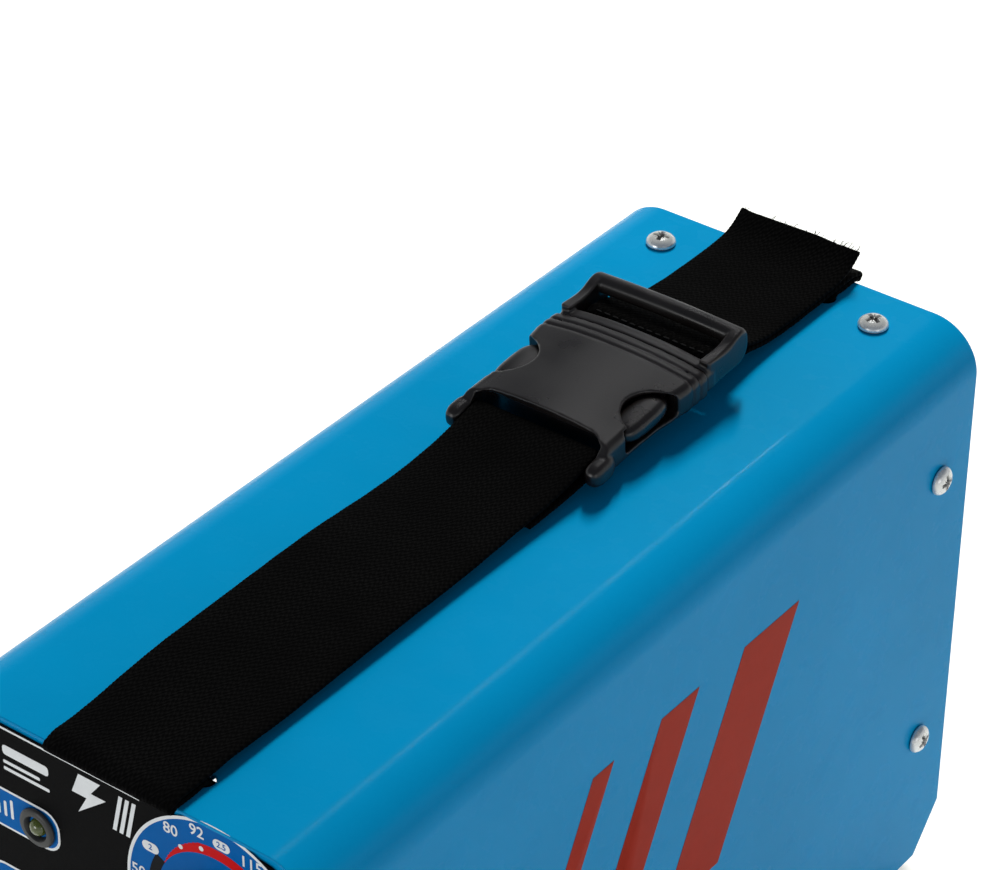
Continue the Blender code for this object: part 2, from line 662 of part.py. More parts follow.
def knob_and_control():
    """The current knob on its shaft, and the potentiometer that the shaft turns in."""
    outward = (0, -1, 0)
    centre = place(DIAL_X, LABEL_V, DIAL_Z)
    bore = SHAFT_RADIUS + GAP
    pot_front = LABEL_V - PANEL_RECESS - PANEL_SHEET - GAP
    pot_back = pot_front - POT_DEPTH
    bushing_end = KNOB_FOOT - 2 * GAP
    pot = [
        (bore, bushing_end),
        (bore, pot_back + PANEL_SHEET),
        (0, pot_back + PANEL_SHEET),
        (0, pot_back),
        (POT_RADIUS, pot_back),
        (POT_RADIUS, pot_front),
        (BUSHING_RADIUS - GAP, pot_front),
        (BUSHING_RADIUS - GAP, bushing_end),
    ]
    piece("potentiometer", turned(pot, centre, outward, 16, True), "steel")
    shaft = rod(centre, outward, SHAFT_RADIUS, pot_back + PANEL_SHEET + GAP, SHAFT_REACH, 12)
    piece("knob_shaft", shaft, "steel", origin=centre)
    reach = KNOB_REACH + LABEL_V
    knob = [
        (bore, KNOB_FOOT),
        (KNOB_RADIUS, KNOB_FOOT),
        (KNOB_RADIUS, KNOB_SKIRT),
        (KNOB_RADIUS - KNOB_TAPER * 2 / 3, KNOB_SKIRT + KNOB_TAPER * 2 / 3),
        (KNOB_RADIUS - KNOB_TAPER, reach - KNOB_TAPER / 2),
        (KNOB_RADIUS - KNOB_TAPER * 3 / 2, reach),
        (0, reach),
        (0, SHAFT_REACH + GAP),
        (bore, SHAFT_REACH + GAP),
    ]
    pointer_half = KNOB_TAPER / 3
    pointer = block(
        (DIAL_X - pointer_half, centre.y - reach + KNOB_TAPER, DIAL_Z + KNOB_RADIUS - 2 * KNOB_TAPER),
        (DIAL_X + pointer_half, centre.y - KNOB_FOOT - pointer_half, DIAL_Z + KNOB_RADIUS + GAP),
    )
    shape = turned(knob, centre, outward, 20, True)
    piece("current_knob", shape, "knob_plastic", join(pointer), origin=centre)


def lamps():
    """Two panel lamps, each a lens in a bezel."""
    outward = (0, -1, 0)
    lens_bore = LAMP_LENS_RADIUS + GAP
    bezel = [
        (LAMP_BEZEL_RADIUS - 0.0008, 0.0016),
        (lens_bore, -0.0004),
        (lens_bore, -LAMP_DEPTH),
        (LAMP_NECK_RADIUS, -LAMP_DEPTH),
        (LAMP_NECK_RADIUS, GAP),
        (LAMP_BEZEL_RADIUS, GAP),
        (LAMP_BEZEL_RADIUS, 0.0012),
    ]
    lens = [(0, -LAMP_DEPTH - 0.001), (LAMP_LENS_RADIUS, -LAMP_DEPTH - 0.001), (LAMP_LENS_RADIUS, 0)]
    lens += [(LAMP_LENS_RADIUS * math.cos(a), LAMP_LENS_RADIUS * math.sin(a)) for a in (0.5, 1.0)]
    lens.append((0, LAMP_LENS_RADIUS))
    for name, z, finish in lamp_spots():
        centre = place(LAMP_X, LABEL_V, z)
        piece(f"{name}_lamp_bezel", turned(bezel, centre, outward, 16, True), "black_plastic")
        piece(f"{name}_lamp_lens", turned(lens, centre, outward, 12), finish)


# ---------------------------------------------------------------- rear fittings
def power_switch():
    """The rocker switch: a snap-in housing and the rocker that tilts in it."""
    face = LENGTH - PANEL_RECESS
    z = BASE_Z + SWITCH_RISE
    bezel = prism(
        rounded((SWITCH_X, z), tuple(reversed(SWITCH_BEZEL)), 0.002, 2),
        "Y",
        FRONT_Y + face + GAP,
        FRONT_Y + face + SWITCH_RIM,
    )
    barrel = prism(
        rounded((SWITCH_X, z), tuple(reversed(SWITCH_BODY)), 0.001, 1),
        "Y",
        FRONT_Y + face - SWITCH_DEPTH,
        FRONT_Y + face + 0.001,
    )
    pivot = place(SWITCH_X, face + PIVOT_OUT, z)
    room, play = ROCKER_HALF_HEIGHT + 0.0012, ROCKER_WIDTH / 2 + BUCKLE_PLAY
    cavity = block(
        (SWITCH_X - play, pivot.y - SWITCH_WELL, z - room),
        (SWITCH_X + play, pivot.y + CUT, z + room),
    )
    pin_reach = ROCKER_WIDTH / 2 + PIVOT_REACH
    socket = rod(pivot, (1, 0, 0), PIVOT_RADIUS + GAP, -pin_reach - GAP, pin_reach + GAP, 10)
    piece("power_switch_housing", bezel, "black_plastic", join(barrel) + cut(cavity, socket))
    half = ROCKER_HALF_HEIGHT
    outline = [
        (-0.0040, -half * 0.85),
        (0.0030, -half),
        (0.0018, 0),
        (0.0030, half),
        (-0.0040, half * 0.85),
        (-0.0055, 0),
    ]
    tilt = math.radians(ROCKER_TILT_DEG)
    turned_outline = [
        (
            pivot.y + a * math.cos(tilt) - b * math.sin(tilt),
            pivot.z + a * math.sin(tilt) + b * math.cos(tilt),
        )
        for a, b in outline
    ]
    wing = prism(turned_outline, "X", SWITCH_X - ROCKER_WIDTH / 2, SWITCH_X + ROCKER_WIDTH / 2)
    pin = rod(pivot, (1, 0, 0), PIVOT_RADIUS, -pin_reach, pin_reach, 10)
    piece("power_switch_rocker", wing, "red_plastic", join(pin), origin=pivot)


def fan():
    """The cooling fan behind the rear panel and the wire guard outside it."""
    back = LENGTH - PANEL_RECESS - PANEL_SHEET - GAP
    front = back - FAN_DEPTH
    centre = place(0, front, FAN_Z)
    half = FAN_SIZE / 2
    outline = rounded((0, FAN_Z), (FAN_SIZE, FAN_SIZE), FAN_CORNER_RADIUS)
    body = prism(outline, "Y", centre.y, centre.y + FAN_DEPTH)
    steps = cut(rod(centre, (0, 1, 0), FAN_BORE_RADIUS, -CUT, FAN_DEPTH + CUT, 32))
    mount = rod(centre, (0, 1, 0), ROTOR_HUB_RADIUS, 0, MOTOR_PLATE, 20)
    steps += join(mount)
    for k in range(STRUT_COUNT):
        strut = block(
            (ROTOR_HUB_RADIUS - STRUT_WIDTH / 2, centre.y, -STRUT_WIDTH / 2),
            (FAN_BORE_RADIUS + 0.001, centre.y + MOTOR_PLATE, STRUT_WIDTH / 2),
        )
        angle = math.radians(90 + 360 * k / STRUT_COUNT)
        turn = Matrix.Translation((0, 0, FAN_Z)) @ Matrix.Rotation(angle, 4, "Y")
        bmesh.ops.transform(strut, matrix=turn, verts=strut.verts)
        steps += join(strut)
    for side in (-1, 1):
        for level in (-1, 1):
            spot = place(side * FAN_HOLE_PITCH / 2, front, FAN_Z + level * FAN_HOLE_PITCH / 2)
            steps += cut(rod(spot, (0, 1, 0), FAN_HOLE_RADIUS, -CUT, FAN_DEPTH + CUT, 8))
    piece("fan_frame", body, "black_plastic", steps)
    hub_low, hub_high = MOTOR_PLATE + GAP, FAN_DEPTH - 0.002
    hub = [
        (0, hub_low),
        (ROTOR_HUB_RADIUS, hub_low),
        (ROTOR_HUB_RADIUS, hub_high - 0.001),
        (ROTOR_HUB_RADIUS - 0.001, hub_high),
        (0, hub_high),
    ]
    blades = []
    middle = centre.y + (hub_low + hub_high) / 2
    for k in range(ROTOR_BLADES):
        blade = block(
            (ROTOR_HUB_RADIUS - 0.002, -BLADE_THICKNESS / 2, -BLADE_CHORD / 2),
            (ROTOR_TIP_RADIUS, BLADE_THICKNESS / 2, BLADE_CHORD / 2),
        )
        pitch = Matrix.Rotation(math.radians(90 - BLADE_PITCH_DEG), 4, "X")
        turn = Matrix.Rotation(2 * math.pi * k / ROTOR_BLADES, 4, "Y")
        spot = Matrix.Translation((0, middle, FAN_Z))
        bmesh.ops.transform(blade, matrix=spot @ turn @ pitch, verts=blade.verts)
        blades.append(blade)
    axis_spot = Vector((0, middle, FAN_Z))
    piece("fan_rotor", turned(hub, centre, (0, 1, 0), 21), "black_plastic", join(*blades), origin=axis_spot)
    fan_guard()


def fan_guard():
    """Round wires on four diagonal legs, each leg with a screw eye."""
    low = GAP - PANEL_RECESS
    centre = place(0, LENGTH, FAN_Z)
    wire = GUARD_THICKNESS
    inset = GAP / 2
    eye_radius = math.hypot(FAN_HOLE_PITCH, FAN_HOLE_PITCH) / 2
    legs = []
    for k in range(2):
        leg = block((-eye_radius, low + inset, -wire / 2), (eye_radius, low + wire - inset, wire / 2))
        turn = Matrix.Translation((0, centre.y, FAN_Z)) @ Matrix.Rotation(math.radians(45 + 90 * k), 4, "Y")
        bmesh.ops.transform(leg, matrix=turn, verts=leg.verts)
        legs.append(leg)
    rings = []
    for k in range(GUARD_RINGS):
        radius = (k + 1) * (FAN_BORE_RADIUS - 0.001) / GUARD_RINGS
        inside, outside = radius - wire / 2, radius + wire / 2
        ring = [(inside, low), (outside, low), (outside, low + wire), (inside, low + wire)]
        rings.append(turned(ring, centre, (0, 1, 0), 16 + 4 * k, True))
    eyes, holes = [], []
    for side in (-1, 1):
        for level in (-1, 1):
            spot = place(side * FAN_HOLE_PITCH / 2, LENGTH, FAN_Z + level * FAN_HOLE_PITCH / 2)
            eyes.append(rod(spot, (0, 1, 0), GUARD_EYE_RADIUS, low + inset / 2, low + wire - inset / 2, 12))
            holes.append(rod(spot, (0, 1, 0), SCREW_HOLE_RADIUS, -CUT, CUT, 8))
    piece("fan_guard", legs[0], "chrome_wire", join(legs[1], *rings, *eyes) + cut(*holes))


def cable_gland():
    """The gland that the supply cord goes in through, and its nut inside the panel."""
    centre = place(GLAND_X, LENGTH - PANEL_RECESS, BASE_Z + GLAND_RISE)
    reach = GLAND_REACH + PANEL_RECESS
    inside = -PANEL_SHEET - GAP
    body = [
        (GLAND_BORE_RADIUS, reach),
        (GLAND_BORE_RADIUS, inside - GLAND_INSIDE),
        (GLAND_NECK_RADIUS, inside - GLAND_INSIDE),
        (GLAND_NECK_RADIUS, GAP),
        (GLAND_NUT_RADIUS, GAP),
        (GLAND_NUT_RADIUS, GLAND_COLLAR),
        (GLAND_NUT_RADIUS - 0.0015, GLAND_COLLAR + 0.0005),
        (GLAND_NUT_RADIUS - 0.0010, GLAND_SHOULDER),
        (GLAND_NUT_RADIUS - 0.0035, reach - 0.0015),
        (GLAND_NUT_RADIUS - 0.0050, reach),
    ]
    piece("cable_gland", turned(body, centre, (0, 1, 0), 20, True), "black_plastic")
    inner, outer = GLAND_NECK_RADIUS + GAP, GLAND_NUT_RADIUS
    nut = [(inner, 0), (inner, -GLAND_NUT_DEPTH), (outer, -GLAND_NUT_DEPTH), (outer, 0)]
    spot = centre + Vector((0, inside, 0))
    piece("gland_nut", turned(nut, spot, (0, 1, 0), 18, True), "black_plastic")


# ---------------------------------------------------------------- strap
def hook(slot_v, inward):
    """The strap's end round its retaining bar, up to the slot, as (v, z) points."""
    wrap = BAR_RADIUS + GAP + STRAP_THICKNESS / 2
    bar_v, bar_z = bar_spot(slot_v, inward)
    turns = [math.radians(20 - 25 * k) for k in range(9)]
    return [(bar_v + inward * wrap * math.cos(a), bar_z + wrap * math.sin(a)) for a in turns]


def bar_spot(slot_v, inward):
    """The middle of a retaining bar, (v, z), beside the slot that its strap goes up through."""
    return slot_v + inward * (BAR_RADIUS + GAP + STRAP_THICKNESS / 2), TOP_Z - BAR_DROP


def fold(slot_v, end_v):
    """The strap's way out of a slot, over the cover's edge and back over itself, as (v, z) points."""
    out = math.copysign(1, end_v - slot_v)
    low = GAP + STRAP_THICKNESS / 2
    radius = (STRAP_THICKNESS + GAP) / 2
    start = [
        (slot_v, TOP_Z - 0.0030),
        (slot_v + out * 0.0002, TOP_Z - 0.0006),
        (slot_v + out * 0.0022, TOP_Z + low + 0.0002),
        (slot_v + out * 0.0050, TOP_Z + low),
        (end_v - out * 0.0010, TOP_Z + low),
        (end_v + out * 0.0006, TOP_Z + low - 0.0001),
    ]
    middle = (end_v + out * 0.0018, TOP_Z + low)
    turns = [math.radians(-60 - 40 * k) for k in range(6)]
    bend = [(middle[0] - out * radius * math.cos(a), middle[1] + radius * math.sin(a)) for a in turns]
    high = TOP_Z + low + STRAP_THICKNESS + GAP
    return start + bend + [(end_v - out * 0.0012, high + 0.0001), (end_v - out * 0.0050, high + 0.0001)]


def above(points):
    """(v, z) points from (v, height above the cover)."""
    return [(v, TOP_Z + rise) for v, rise in points]


def pin_wrap(spot, start_deg, end_deg, steps):
    """The strap's middle round a buckle pin, as (v, z) points. Angles are from +v towards +z."""
    return arc(spot, PIN_RADIUS + GAP + STRAP_THICKNESS / 2, start_deg, end_deg, steps)


def in_buckle(u, n):
    """A place in the buckle, (v, z): u along it from the receiver's feet, n above its underside."""
    tilt = math.radians(BUCKLE_TILT_DEG)
    return (
        BUCKLE_V + u * math.cos(tilt) - n * math.sin(tilt),
        TOP_Z + BUCKLE_LIFT + u * math.sin(tilt) + n * math.cos(tilt),
    )


def front_strap():
    """The front strap: from its bar through the front slot and back to the buckle's receiver."""
    route = hook(SLOT_FROM_END, 1) + fold(SLOT_FROM_END, 0)
    start, end = 0.022, BUCKLE_V - 0.0109
    crest = ((0.0, 0.0037), (0.14, 0.0042), (0.34, 0.0047), (0.54, 0.0050), (0.74, 0.0046), (0.90, 0.0050))
    route += above([(0.012, 0.0030), *[(start + share * (end - start), rise) for share, rise in crest]])
    route += above([(end, 0.0061), (BUCKLE_V - 0.0019, 0.0077)])
    route += pin_wrap(in_buckle(*RECEIVER_PIN), 90, -75, 5)
    route += above([(BUCKLE_V - 0.0019, 0.0034), (BUCKLE_V - 0.0119, 0.0028), (BUCKLE_V - 0.0229, 0.0026)])
    band_piece("front_strap", route)


def rear_strap():
    """The rear strap: from its bar through the rear slot, round the buckle's ladder pin to a free tail."""
    end, slot = LENGTH, LENGTH - SLOT_FROM_END
    route = hook(slot, -1) + fold(slot, end)
    pin_v, pin_z = in_buckle(*LADDER_PIN)
    low_run = end - 0.005 - (pin_v + 0.0183)
    route += above([(end - 0.005 - 0.31 * low_run, 0.0026), (end - 0.005 - 0.72 * low_run, 0.0028)])
    route += [
        (pin_v + 0.0183, pin_z - 0.0058),
        (pin_v + 0.0090, pin_z - 0.0036),
    ]
    route += pin_wrap((pin_v, pin_z), -85, -275, 6)
    route += [
        (pin_v + 0.0050, pin_z + 0.0017),
        (pin_v + 0.0100, pin_z + 0.0001),
        (pin_v + 0.0163, pin_z - 0.0030),
        (pin_v + 0.0250, pin_z - 0.0054),
    ]
    tail_run = TAIL_V - (pin_v + 0.0250)
    tail = ((0.24, 0.0044), (0.56, 0.0042), (0.77, 0.0046), (0.90, 0.0062), (1.0, 0.0094))
    route += above([(TAIL_V - (1 - share) * tail_run, rise) for share, rise in tail])
    band_piece("rear_strap", route)


def band_piece(name, route):
    """A strap piece along a smooth curve through its route."""
    piece(name, band(smooth_route(route, 2), STRAP_WIDTH / 2, STRAP_THICKNESS), "webbing")


def strap_bars():
    """The round steel bars that hold the straps' ends under the slots."""
    for name, slot_v, inward in (("front", SLOT_FROM_END, 1), ("rear", LENGTH - SLOT_FROM_END, -1)):
        v, z = bar_spot(slot_v, inward)
        bar = rod(place(0, v, z), (1, 0, 0), BAR_RADIUS, -BAR_LENGTH / 2, BAR_LENGTH / 2, 12)
        piece(f"{name}_strap_bar", bar, "steel")


# ---------------------------------------------------------------- buckle
def settled(shape):
    """A shape drawn in the buckle's own axes, (x, u, n), put where the buckle lies."""
    spot = place(0, BUCKLE_V, TOP_Z + BUCKLE_LIFT)
    matrix = Matrix.Translation(spot) @ Matrix.Rotation(math.radians(BUCKLE_TILT_DEG), 4, "X")
    bmesh.ops.transform(shape, matrix=matrix, verts=shape.verts)
    return shape


def buckle_point(x, u, n):
    """A place in the buckle as a point."""
    v, z = in_buckle(u, n)
    return place(x, v, z)


def mirrored(outline):
    """A right-hand outline and its mirror image, as one closed outline."""
    return outline + [(-x, u) for x, u in reversed(outline)]


def buckle_receiver():
    """The half that the front strap is sewn to: a flat box with side windows and two feet at its mouth."""
    side = [
        (MOUTH_HALF, 0),
        (WAIST_HALF - 0.0006, 0.0006),
        (WAIST_HALF, 0.05 * RECEIVER_LENGTH),
        (WAIST_HALF, 0.31 * RECEIVER_LENGTH),
        (WAIST_HALF + 0.0006, 0.61 * RECEIVER_LENGTH),
        (RECEIVER_HALF - 0.0004, 0.86 * RECEIVER_LENGTH),
        (RECEIVER_HALF, RECEIVER_LENGTH - 0.0030),
        (RECEIVER_HALF - 0.0004, RECEIVER_LENGTH),
    ]
    top = RECEIVER_HEIGHT
    ceiling = top - RECEIVER_WALL
    lip_u, back_u = 0.0094, 0.0122
    foot_n = 0.45 * top
    slope = [(-CUT, foot_n), (0.0010, foot_n), (lip_u, top), (lip_u, top + CUT), (-CUT, top + CUT)]
    mouth = block((-MOUTH_HALF, -CUT, -CUT), (MOUTH_HALF, back_u, ceiling))
    channel = block(
        (-RECEIVER_HALF + RECEIVER_WALL, back_u + RECEIVER_WALL, RECEIVER_WALL),
        (RECEIVER_HALF - RECEIVER_WALL, RECEIVER_LENGTH + CUT, ceiling),
    )
    windows = []
    for s in (-1, 1):
        xs = sorted((s * (WAIST_HALF - 0.0045), s * (RECEIVER_HALF + CUT)))
        low = (xs[0], back_u + RECEIVER_WALL + GAP, RECEIVER_WALL)
        windows.append(block(low, (xs[1], 0.735 * RECEIVER_LENGTH, ceiling)))
        middle_x, middle_u = WAIST_HALF + 0.0040, 0.53 * RECEIVER_LENGTH
        radius_x, radius_u = 0.0085, 0.204 * RECEIVER_LENGTH
        turns = [(math.cos(a), math.sin(a)) for a in turn_steps(16)]
        bite = [(s * (middle_x + radius_x * c), middle_u + radius_u * d) for c, d in turns]
        windows.append(prism(bite, "Z", top / 2, top + CUT))
    pin = rod((0, *RECEIVER_PIN), (1, 0, 0), PIN_RADIUS, -MOUTH_HALF - 0.001, MOUTH_HALF + 0.001, 10)
    cutters = [prism(slope, "X", -HALF, HALF), mouth, channel, *windows]
    steps = cut(*[settled(cutter) for cutter in cutters]) + join(settled(pin))
    origin = buckle_point(0, 0, 0)
    piece("buckle_receiver", settled(prism(mirrored(side), "Z", 0, top)), "black_plastic", steps, origin)


def turn_steps(count):
    """Angles evenly round a circle."""
    return [2 * math.pi * k / count for k in range(count)]


def buckle_frame():
    """The half on the rear strap: shoulder, two rails, ladder pin, rear bar and guide tongue."""
    half, tall, low = FRAME_HALF, FRAME_HEIGHT, 0.0006
    front = RECEIVER_LENGTH + BUCKLE_PLAY
    end = BUCKLE_LENGTH - 0.0005
    ear = [(front + 0.003, low), (end - 0.003, low), (end, 0.0040), (end, tall - 0.001)]
    ear += arc((end - 0.0026, tall - 0.001), 0.0026, 0, 90, 3)[1:] + [(front + 0.003, tall)]
    rails = [prism(ear, "X", *sorted((s * (MOUTH_HALF + 0.0004), s * half))) for s in (-1, 1)]
    rear_bar = [
        (end - 0.0046, 0.0060),
        (end - 0.0036, 0.0052),
        (end - 0.0008, 0.0052),
        (end - 0.0002, 0.0080),
        (end - 0.0014, 0.0106),
        (end - 0.0042, 0.0100),
    ]
    tongue = block((-0.0040, 0.45 * RECEIVER_LENGTH, ARM_LEVELS[0]), (0.0040, front + 0.001, ARM_LEVELS[1]))
    pin = rod((0, *LADDER_PIN), (1, 0, 0), PIN_RADIUS, 0.001 - half, half - 0.001, 10)
    shoulder = settled(block((-half, front, low), (half, front + 0.0036, tall)))
    parts = [*rails, prism(rear_bar, "X", 0.001 - half, half - 0.001), tongue, pin]
    piece("buckle_frame", shoulder, "black_plastic", join(*[settled(p) for p in parts]))


def buckle_arms():
    """The two sprung arms with their press pads, each turning at its root by the frame's shoulder."""
    root_u = RECEIVER_LENGTH - 0.0015
    outer = WAIST_HALF - 0.0003
    outline = [
        (outer - 0.0097, root_u + 0.0012),
        (outer - 0.0097, root_u - 0.0045),
        (outer - 0.0064, root_u - 0.0085),
        (outer - 0.0062, 0.69 * RECEIVER_LENGTH),
        (outer - 0.0077, 0.61 * RECEIVER_LENGTH),
        (outer - 0.0077, 0.347 * RECEIVER_LENGTH),
        (outer - 0.0042, 0.343 * RECEIVER_LENGTH),
        (outer - 0.0008, 0.41 * RECEIVER_LENGTH),
        (outer, 0.49 * RECEIVER_LENGTH),
        (outer, 0.59 * RECEIVER_LENGTH),
        (outer - 0.0006, 0.66 * RECEIVER_LENGTH),
        (outer - 0.0030, 0.714 * RECEIVER_LENGTH),
        (outer - 0.0030, root_u - 0.0030),
        (outer - 0.0037, root_u + 0.0012),
    ]
    for name, side in (("left", -1), ("right", 1)):
        arm = prism([(side * x, u) for x, u in outline], "Z", *ARM_LEVELS)
        origin = buckle_point(side * (outer - 0.0067), root_u, sum(ARM_LEVELS) / 2)
        piece(f"buckle_arm_{name}", settled(arm), "black_plastic", origin=origin)


# ---------------------------------------------------------------- power stage
def power_board():
    """The main circuit board on the tray's pillars."""
    low = place(-BOARD_HALF_WIDTH, BOARD_FRONT_V, BOARD_TOP_Z - BOARD_THICKNESS)
    high = place(BOARD_HALF_WIDTH, BOARD_FRONT_V + BOARD_LENGTH, BOARD_TOP_Z)
    piece("power_board", block(low, high), "board_green")


def control_board():
    """The small board behind the knob and the lamps."""
    v = LABEL_V + PANEL_RECESS + PANEL_SHEET + POT_DEPTH + 0.0016
    bar_bottom = TOP_Z - BAR_DROP - BAR_RADIUS - STRAP_THICKNESS - 2 * GAP
    low = place(LAMP_X - CONTROL_BOARD_LEFT, v, DIAL_Z - CONTROL_BOARD_DROP)
    high = place(DIAL_X + CONTROL_BOARD_RIGHT, v + BOARD_THICKNESS, bar_bottom - 0.0015)
    piece("control_board", block(low, high), "board_green")


def heatsinks():
    """Two finned aluminium extrusions, fins outward, with a power module on each inner face."""
    foot_z = BOARD_TOP_Z + GAP
    outer = BOARD_HALF_WIDTH - 0.0005
    pitch = SINK_HEIGHT / SINK_FINS
    for name, module, side in (("igbt", "igbt_module", -1), ("rectifier", "diode_module", 1)):
        outline = [(side * SINK_INNER_X, foot_z), (side * SINK_INNER_X, foot_z + SINK_HEIGHT)]
        for k in reversed(range(SINK_FINS)):
            low = foot_z + k * pitch
            root, tip = side * (SINK_INNER_X + SINK_BASE), side * outer
            outline += [(root, low + pitch), (root, low + FIN_ROOT), (tip, low + FIN_TIP), (tip, low)]
        ends = (FRONT_Y + SINK_FRONT_V, FRONT_Y + SINK_FRONT_V + SINK_LENGTH)
        piece(f"{name}_heatsink", prism(outline, "Y", *ends), "aluminium")
        xs = sorted((side * (SINK_INNER_X - GAP), side * (SINK_INNER_X - GAP - MODULE_DEPTH)))
        low = Vector((xs[0], ends[0] + MODULE_INSET, foot_z + MODULE_RISE))
        high = Vector((xs[1], ends[1] - MODULE_INSET, foot_z + MODULE_RISE + MODULE_HEIGHT))
        piece(module, block(low, high), "black_plastic")


def transformer():
    """The main transformer: a closed ferrite core round a copper winding."""
    middle_v = SINK_FRONT_V + SINK_LENGTH / 2
    foot_z = BOARD_TOP_Z + GAP
    side_view = rounded((FRONT_Y + middle_v, foot_z + CORE_HEIGHT / 2), (CORE_LENGTH, CORE_HEIGHT), 0.001, 1)
    core = prism(side_view, "X", -CORE_HALF, CORE_HALF)
    low_z, high_z = foot_z + CORE_LEG, foot_z + CORE_HEIGHT - CORE_LEG
    past = CORE_HALF + CUT
    windows = []
    for side in (-1, 1):
        near, far = sorted((side * CORE_LEG, side * (CORE_LENGTH / 2 - CORE_LEG)))
        windows.append(block(place(-past, middle_v + near, low_z), place(past, middle_v + far, high_z)))
    piece("transformer_core", core, "ferrite", cut(*windows))
    reach_v = CORE_LENGTH / 2 - CORE_LEG - GAP
    outer = rounded((0, FRONT_Y + middle_v), (2 * WINDING_HALF, 2 * reach_v), WINDING_CORNER)
    winding = prism(outer, "Z", low_z + GAP, high_z - GAP)
    hole = block(
        place(-CORE_HALF - GAP, middle_v - CORE_LEG - GAP, foot_z),
        place(CORE_HALF + GAP, middle_v + CORE_LEG + GAP, foot_z + CORE_HEIGHT),
    )
    piece("transformer_winding", winding, "copper", cut(hole))


def output_choke(foot_z):
    """The output choke: a wound ring that stands on its rim."""
    inner, outer, edge = CHOKE_HOLE_RADIUS, CHOKE_RADIUS, CHOKE_EDGE
    profile = [
        (inner, -CHOKE_HALF),
        (outer - edge, -CHOKE_HALF),
        (outer, edge - CHOKE_HALF),
        (outer, CHOKE_HALF - edge),
        (outer - edge, CHOKE_HALF),
        (inner, CHOKE_HALF),
    ]
    spot = place(BOARD_HALF_WIDTH - 2 * CHOKE_HALF, BEHIND_V + 0.39 * BEHIND_ROOM, foot_z + outer)
    piece("output_choke", turned(profile, spot, (1, 0, 0), 18, True), "copper")


def bus_capacitors(foot_z):
    """The two bus capacitors, with a rolled edge round the sleeve's open top."""
    can = [
        (0, 0),
        (CAN_RADIUS, 0),
        (CAN_RADIUS, CAN_HEIGHT - 0.001),
        (CAN_RADIUS - 0.001, CAN_HEIGHT),
        (CAN_RADIUS - 0.003, CAN_HEIGHT - 0.0004),
        (0, CAN_HEIGHT - 0.0004),
    ]
    x = CAN_INSET + CAN_RADIUS - BOARD_HALF_WIDTH
    for name, share in (("front", 0.22), ("rear", 0.61)):
        spot = place(x, BEHIND_V + share * BEHIND_ROOM, foot_z)
        piece(f"bus_capacitor_{name}", turned(can, spot, (0, 0, 1), 16), "can_sleeve")


def bridge_and_relay(foot_z):
    """The input bridge and the soft-start relay, in the room between the capacitors and the choke."""
    left = CAN_INSET + 2 * CAN_RADIUS - BOARD_HALF_WIDTH
    right = BOARD_HALF_WIDTH - 3 * CHOKE_HALF
    room, middle = right - left, (left + right) / 2
    size = Vector((0.62 * room, 0.30 * BEHIND_ROOM, BRIDGE_HEIGHT))
    low = place(middle - size.x / 2, BEHIND_V + 0.087 * BEHIND_ROOM, foot_z)
    hole_spot = low + Vector((size.x / 2, size.y / 2, 0))
    hole = rod(hole_spot, (0, 0, 1), SCREW_HOLE_RADIUS, -CUT, BRIDGE_HEIGHT + CUT, 10)
    piece("bridge_rectifier", block(low, low + size), "black_plastic", cut(hole))
    size = Vector((0.44 * room, 0.29 * BEHIND_ROOM, RELAY_HEIGHT))
    low = place(middle - size.x / 2, BEHIND_V + 0.52 * BEHIND_ROOM, foot_z)
    piece("soft_start_relay", block(low, low + size), "black_plastic")


def busbars(foot_z):
    """The two bent copper strips from the sockets' studs down to the board."""
    top, strip = SOCKET_Z + BUSBAR_OVER, BUSBAR_STRIP
    end_v = SINK_FRONT_V - 0.001
    for name, side in (("negative", -1), ("positive", 1)):
        outline = [(BUSBAR_V, top), (BUSBAR_V, foot_z), (end_v, foot_z), (end_v, foot_z + strip)]
        outline += [(BUSBAR_V + strip, foot_z + strip), (BUSBAR_V + strip, top)]
        outline = [(FRONT_Y + v, z) for v, z in outline]
        xs = sorted((side * (SOCKET_X - BUSBAR_WIDTH / 2), side * (SOCKET_X + BUSBAR_WIDTH / 2)))
        spot = place(side * SOCKET_X, BUSBAR_V, SOCKET_Z)
        hole = rod(spot, (0, 1, 0), STUD_RADIUS + GAP, -CUT, CUT, 16)
        piece(f"{name}_busbar", prism(outline, "X", *xs), "copper", cut(hole))


def board_parts():
    """What stands on the board behind the heatsinks, and the two busbars."""
    foot_z = BOARD_TOP_Z + GAP
    output_choke(foot_z)
    bus_capacitors(foot_z)
    bridge_and_relay(foot_z)
    busbars(foot_z)


def main():
    """Builds every piece."""
    for old in list(bpy.data.objects):
        bpy.data.objects.remove(old)
    for build in (
        cover,
        base_tray,
        front_panel,
        front_label,
        rear_panel,
        feet,
        case_screws,
        output_sockets,
        knob_and_control,
        lamps,
        power_switch,
        fan,
        cable_gland,
        front_strap,
        rear_strap,
        strap_bars,
        buckle_receiver,
        buckle_frame,
        buckle_arms,
        power_board,
        control_board,
        heatsinks,
        transformer,
        board_parts,
    ):
        build()


main()
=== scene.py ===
"""Stick welding inverter: the looks of every piece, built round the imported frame.

Lengths are metres in the frame's axes: +Z up, front panel towards -Y, origin on the floor under the
middle. A place on the case is often given as (x, v, drop): v is the distance behind the cover's front
edge and drop the distance below the cover's top.
"""

import logging
import math
import random
from dataclasses import dataclass
from enum import Enum
from typing import Any, Callable, Iterable, Sequence

import bmesh
import bpy
from mathutils import Matrix, Vector


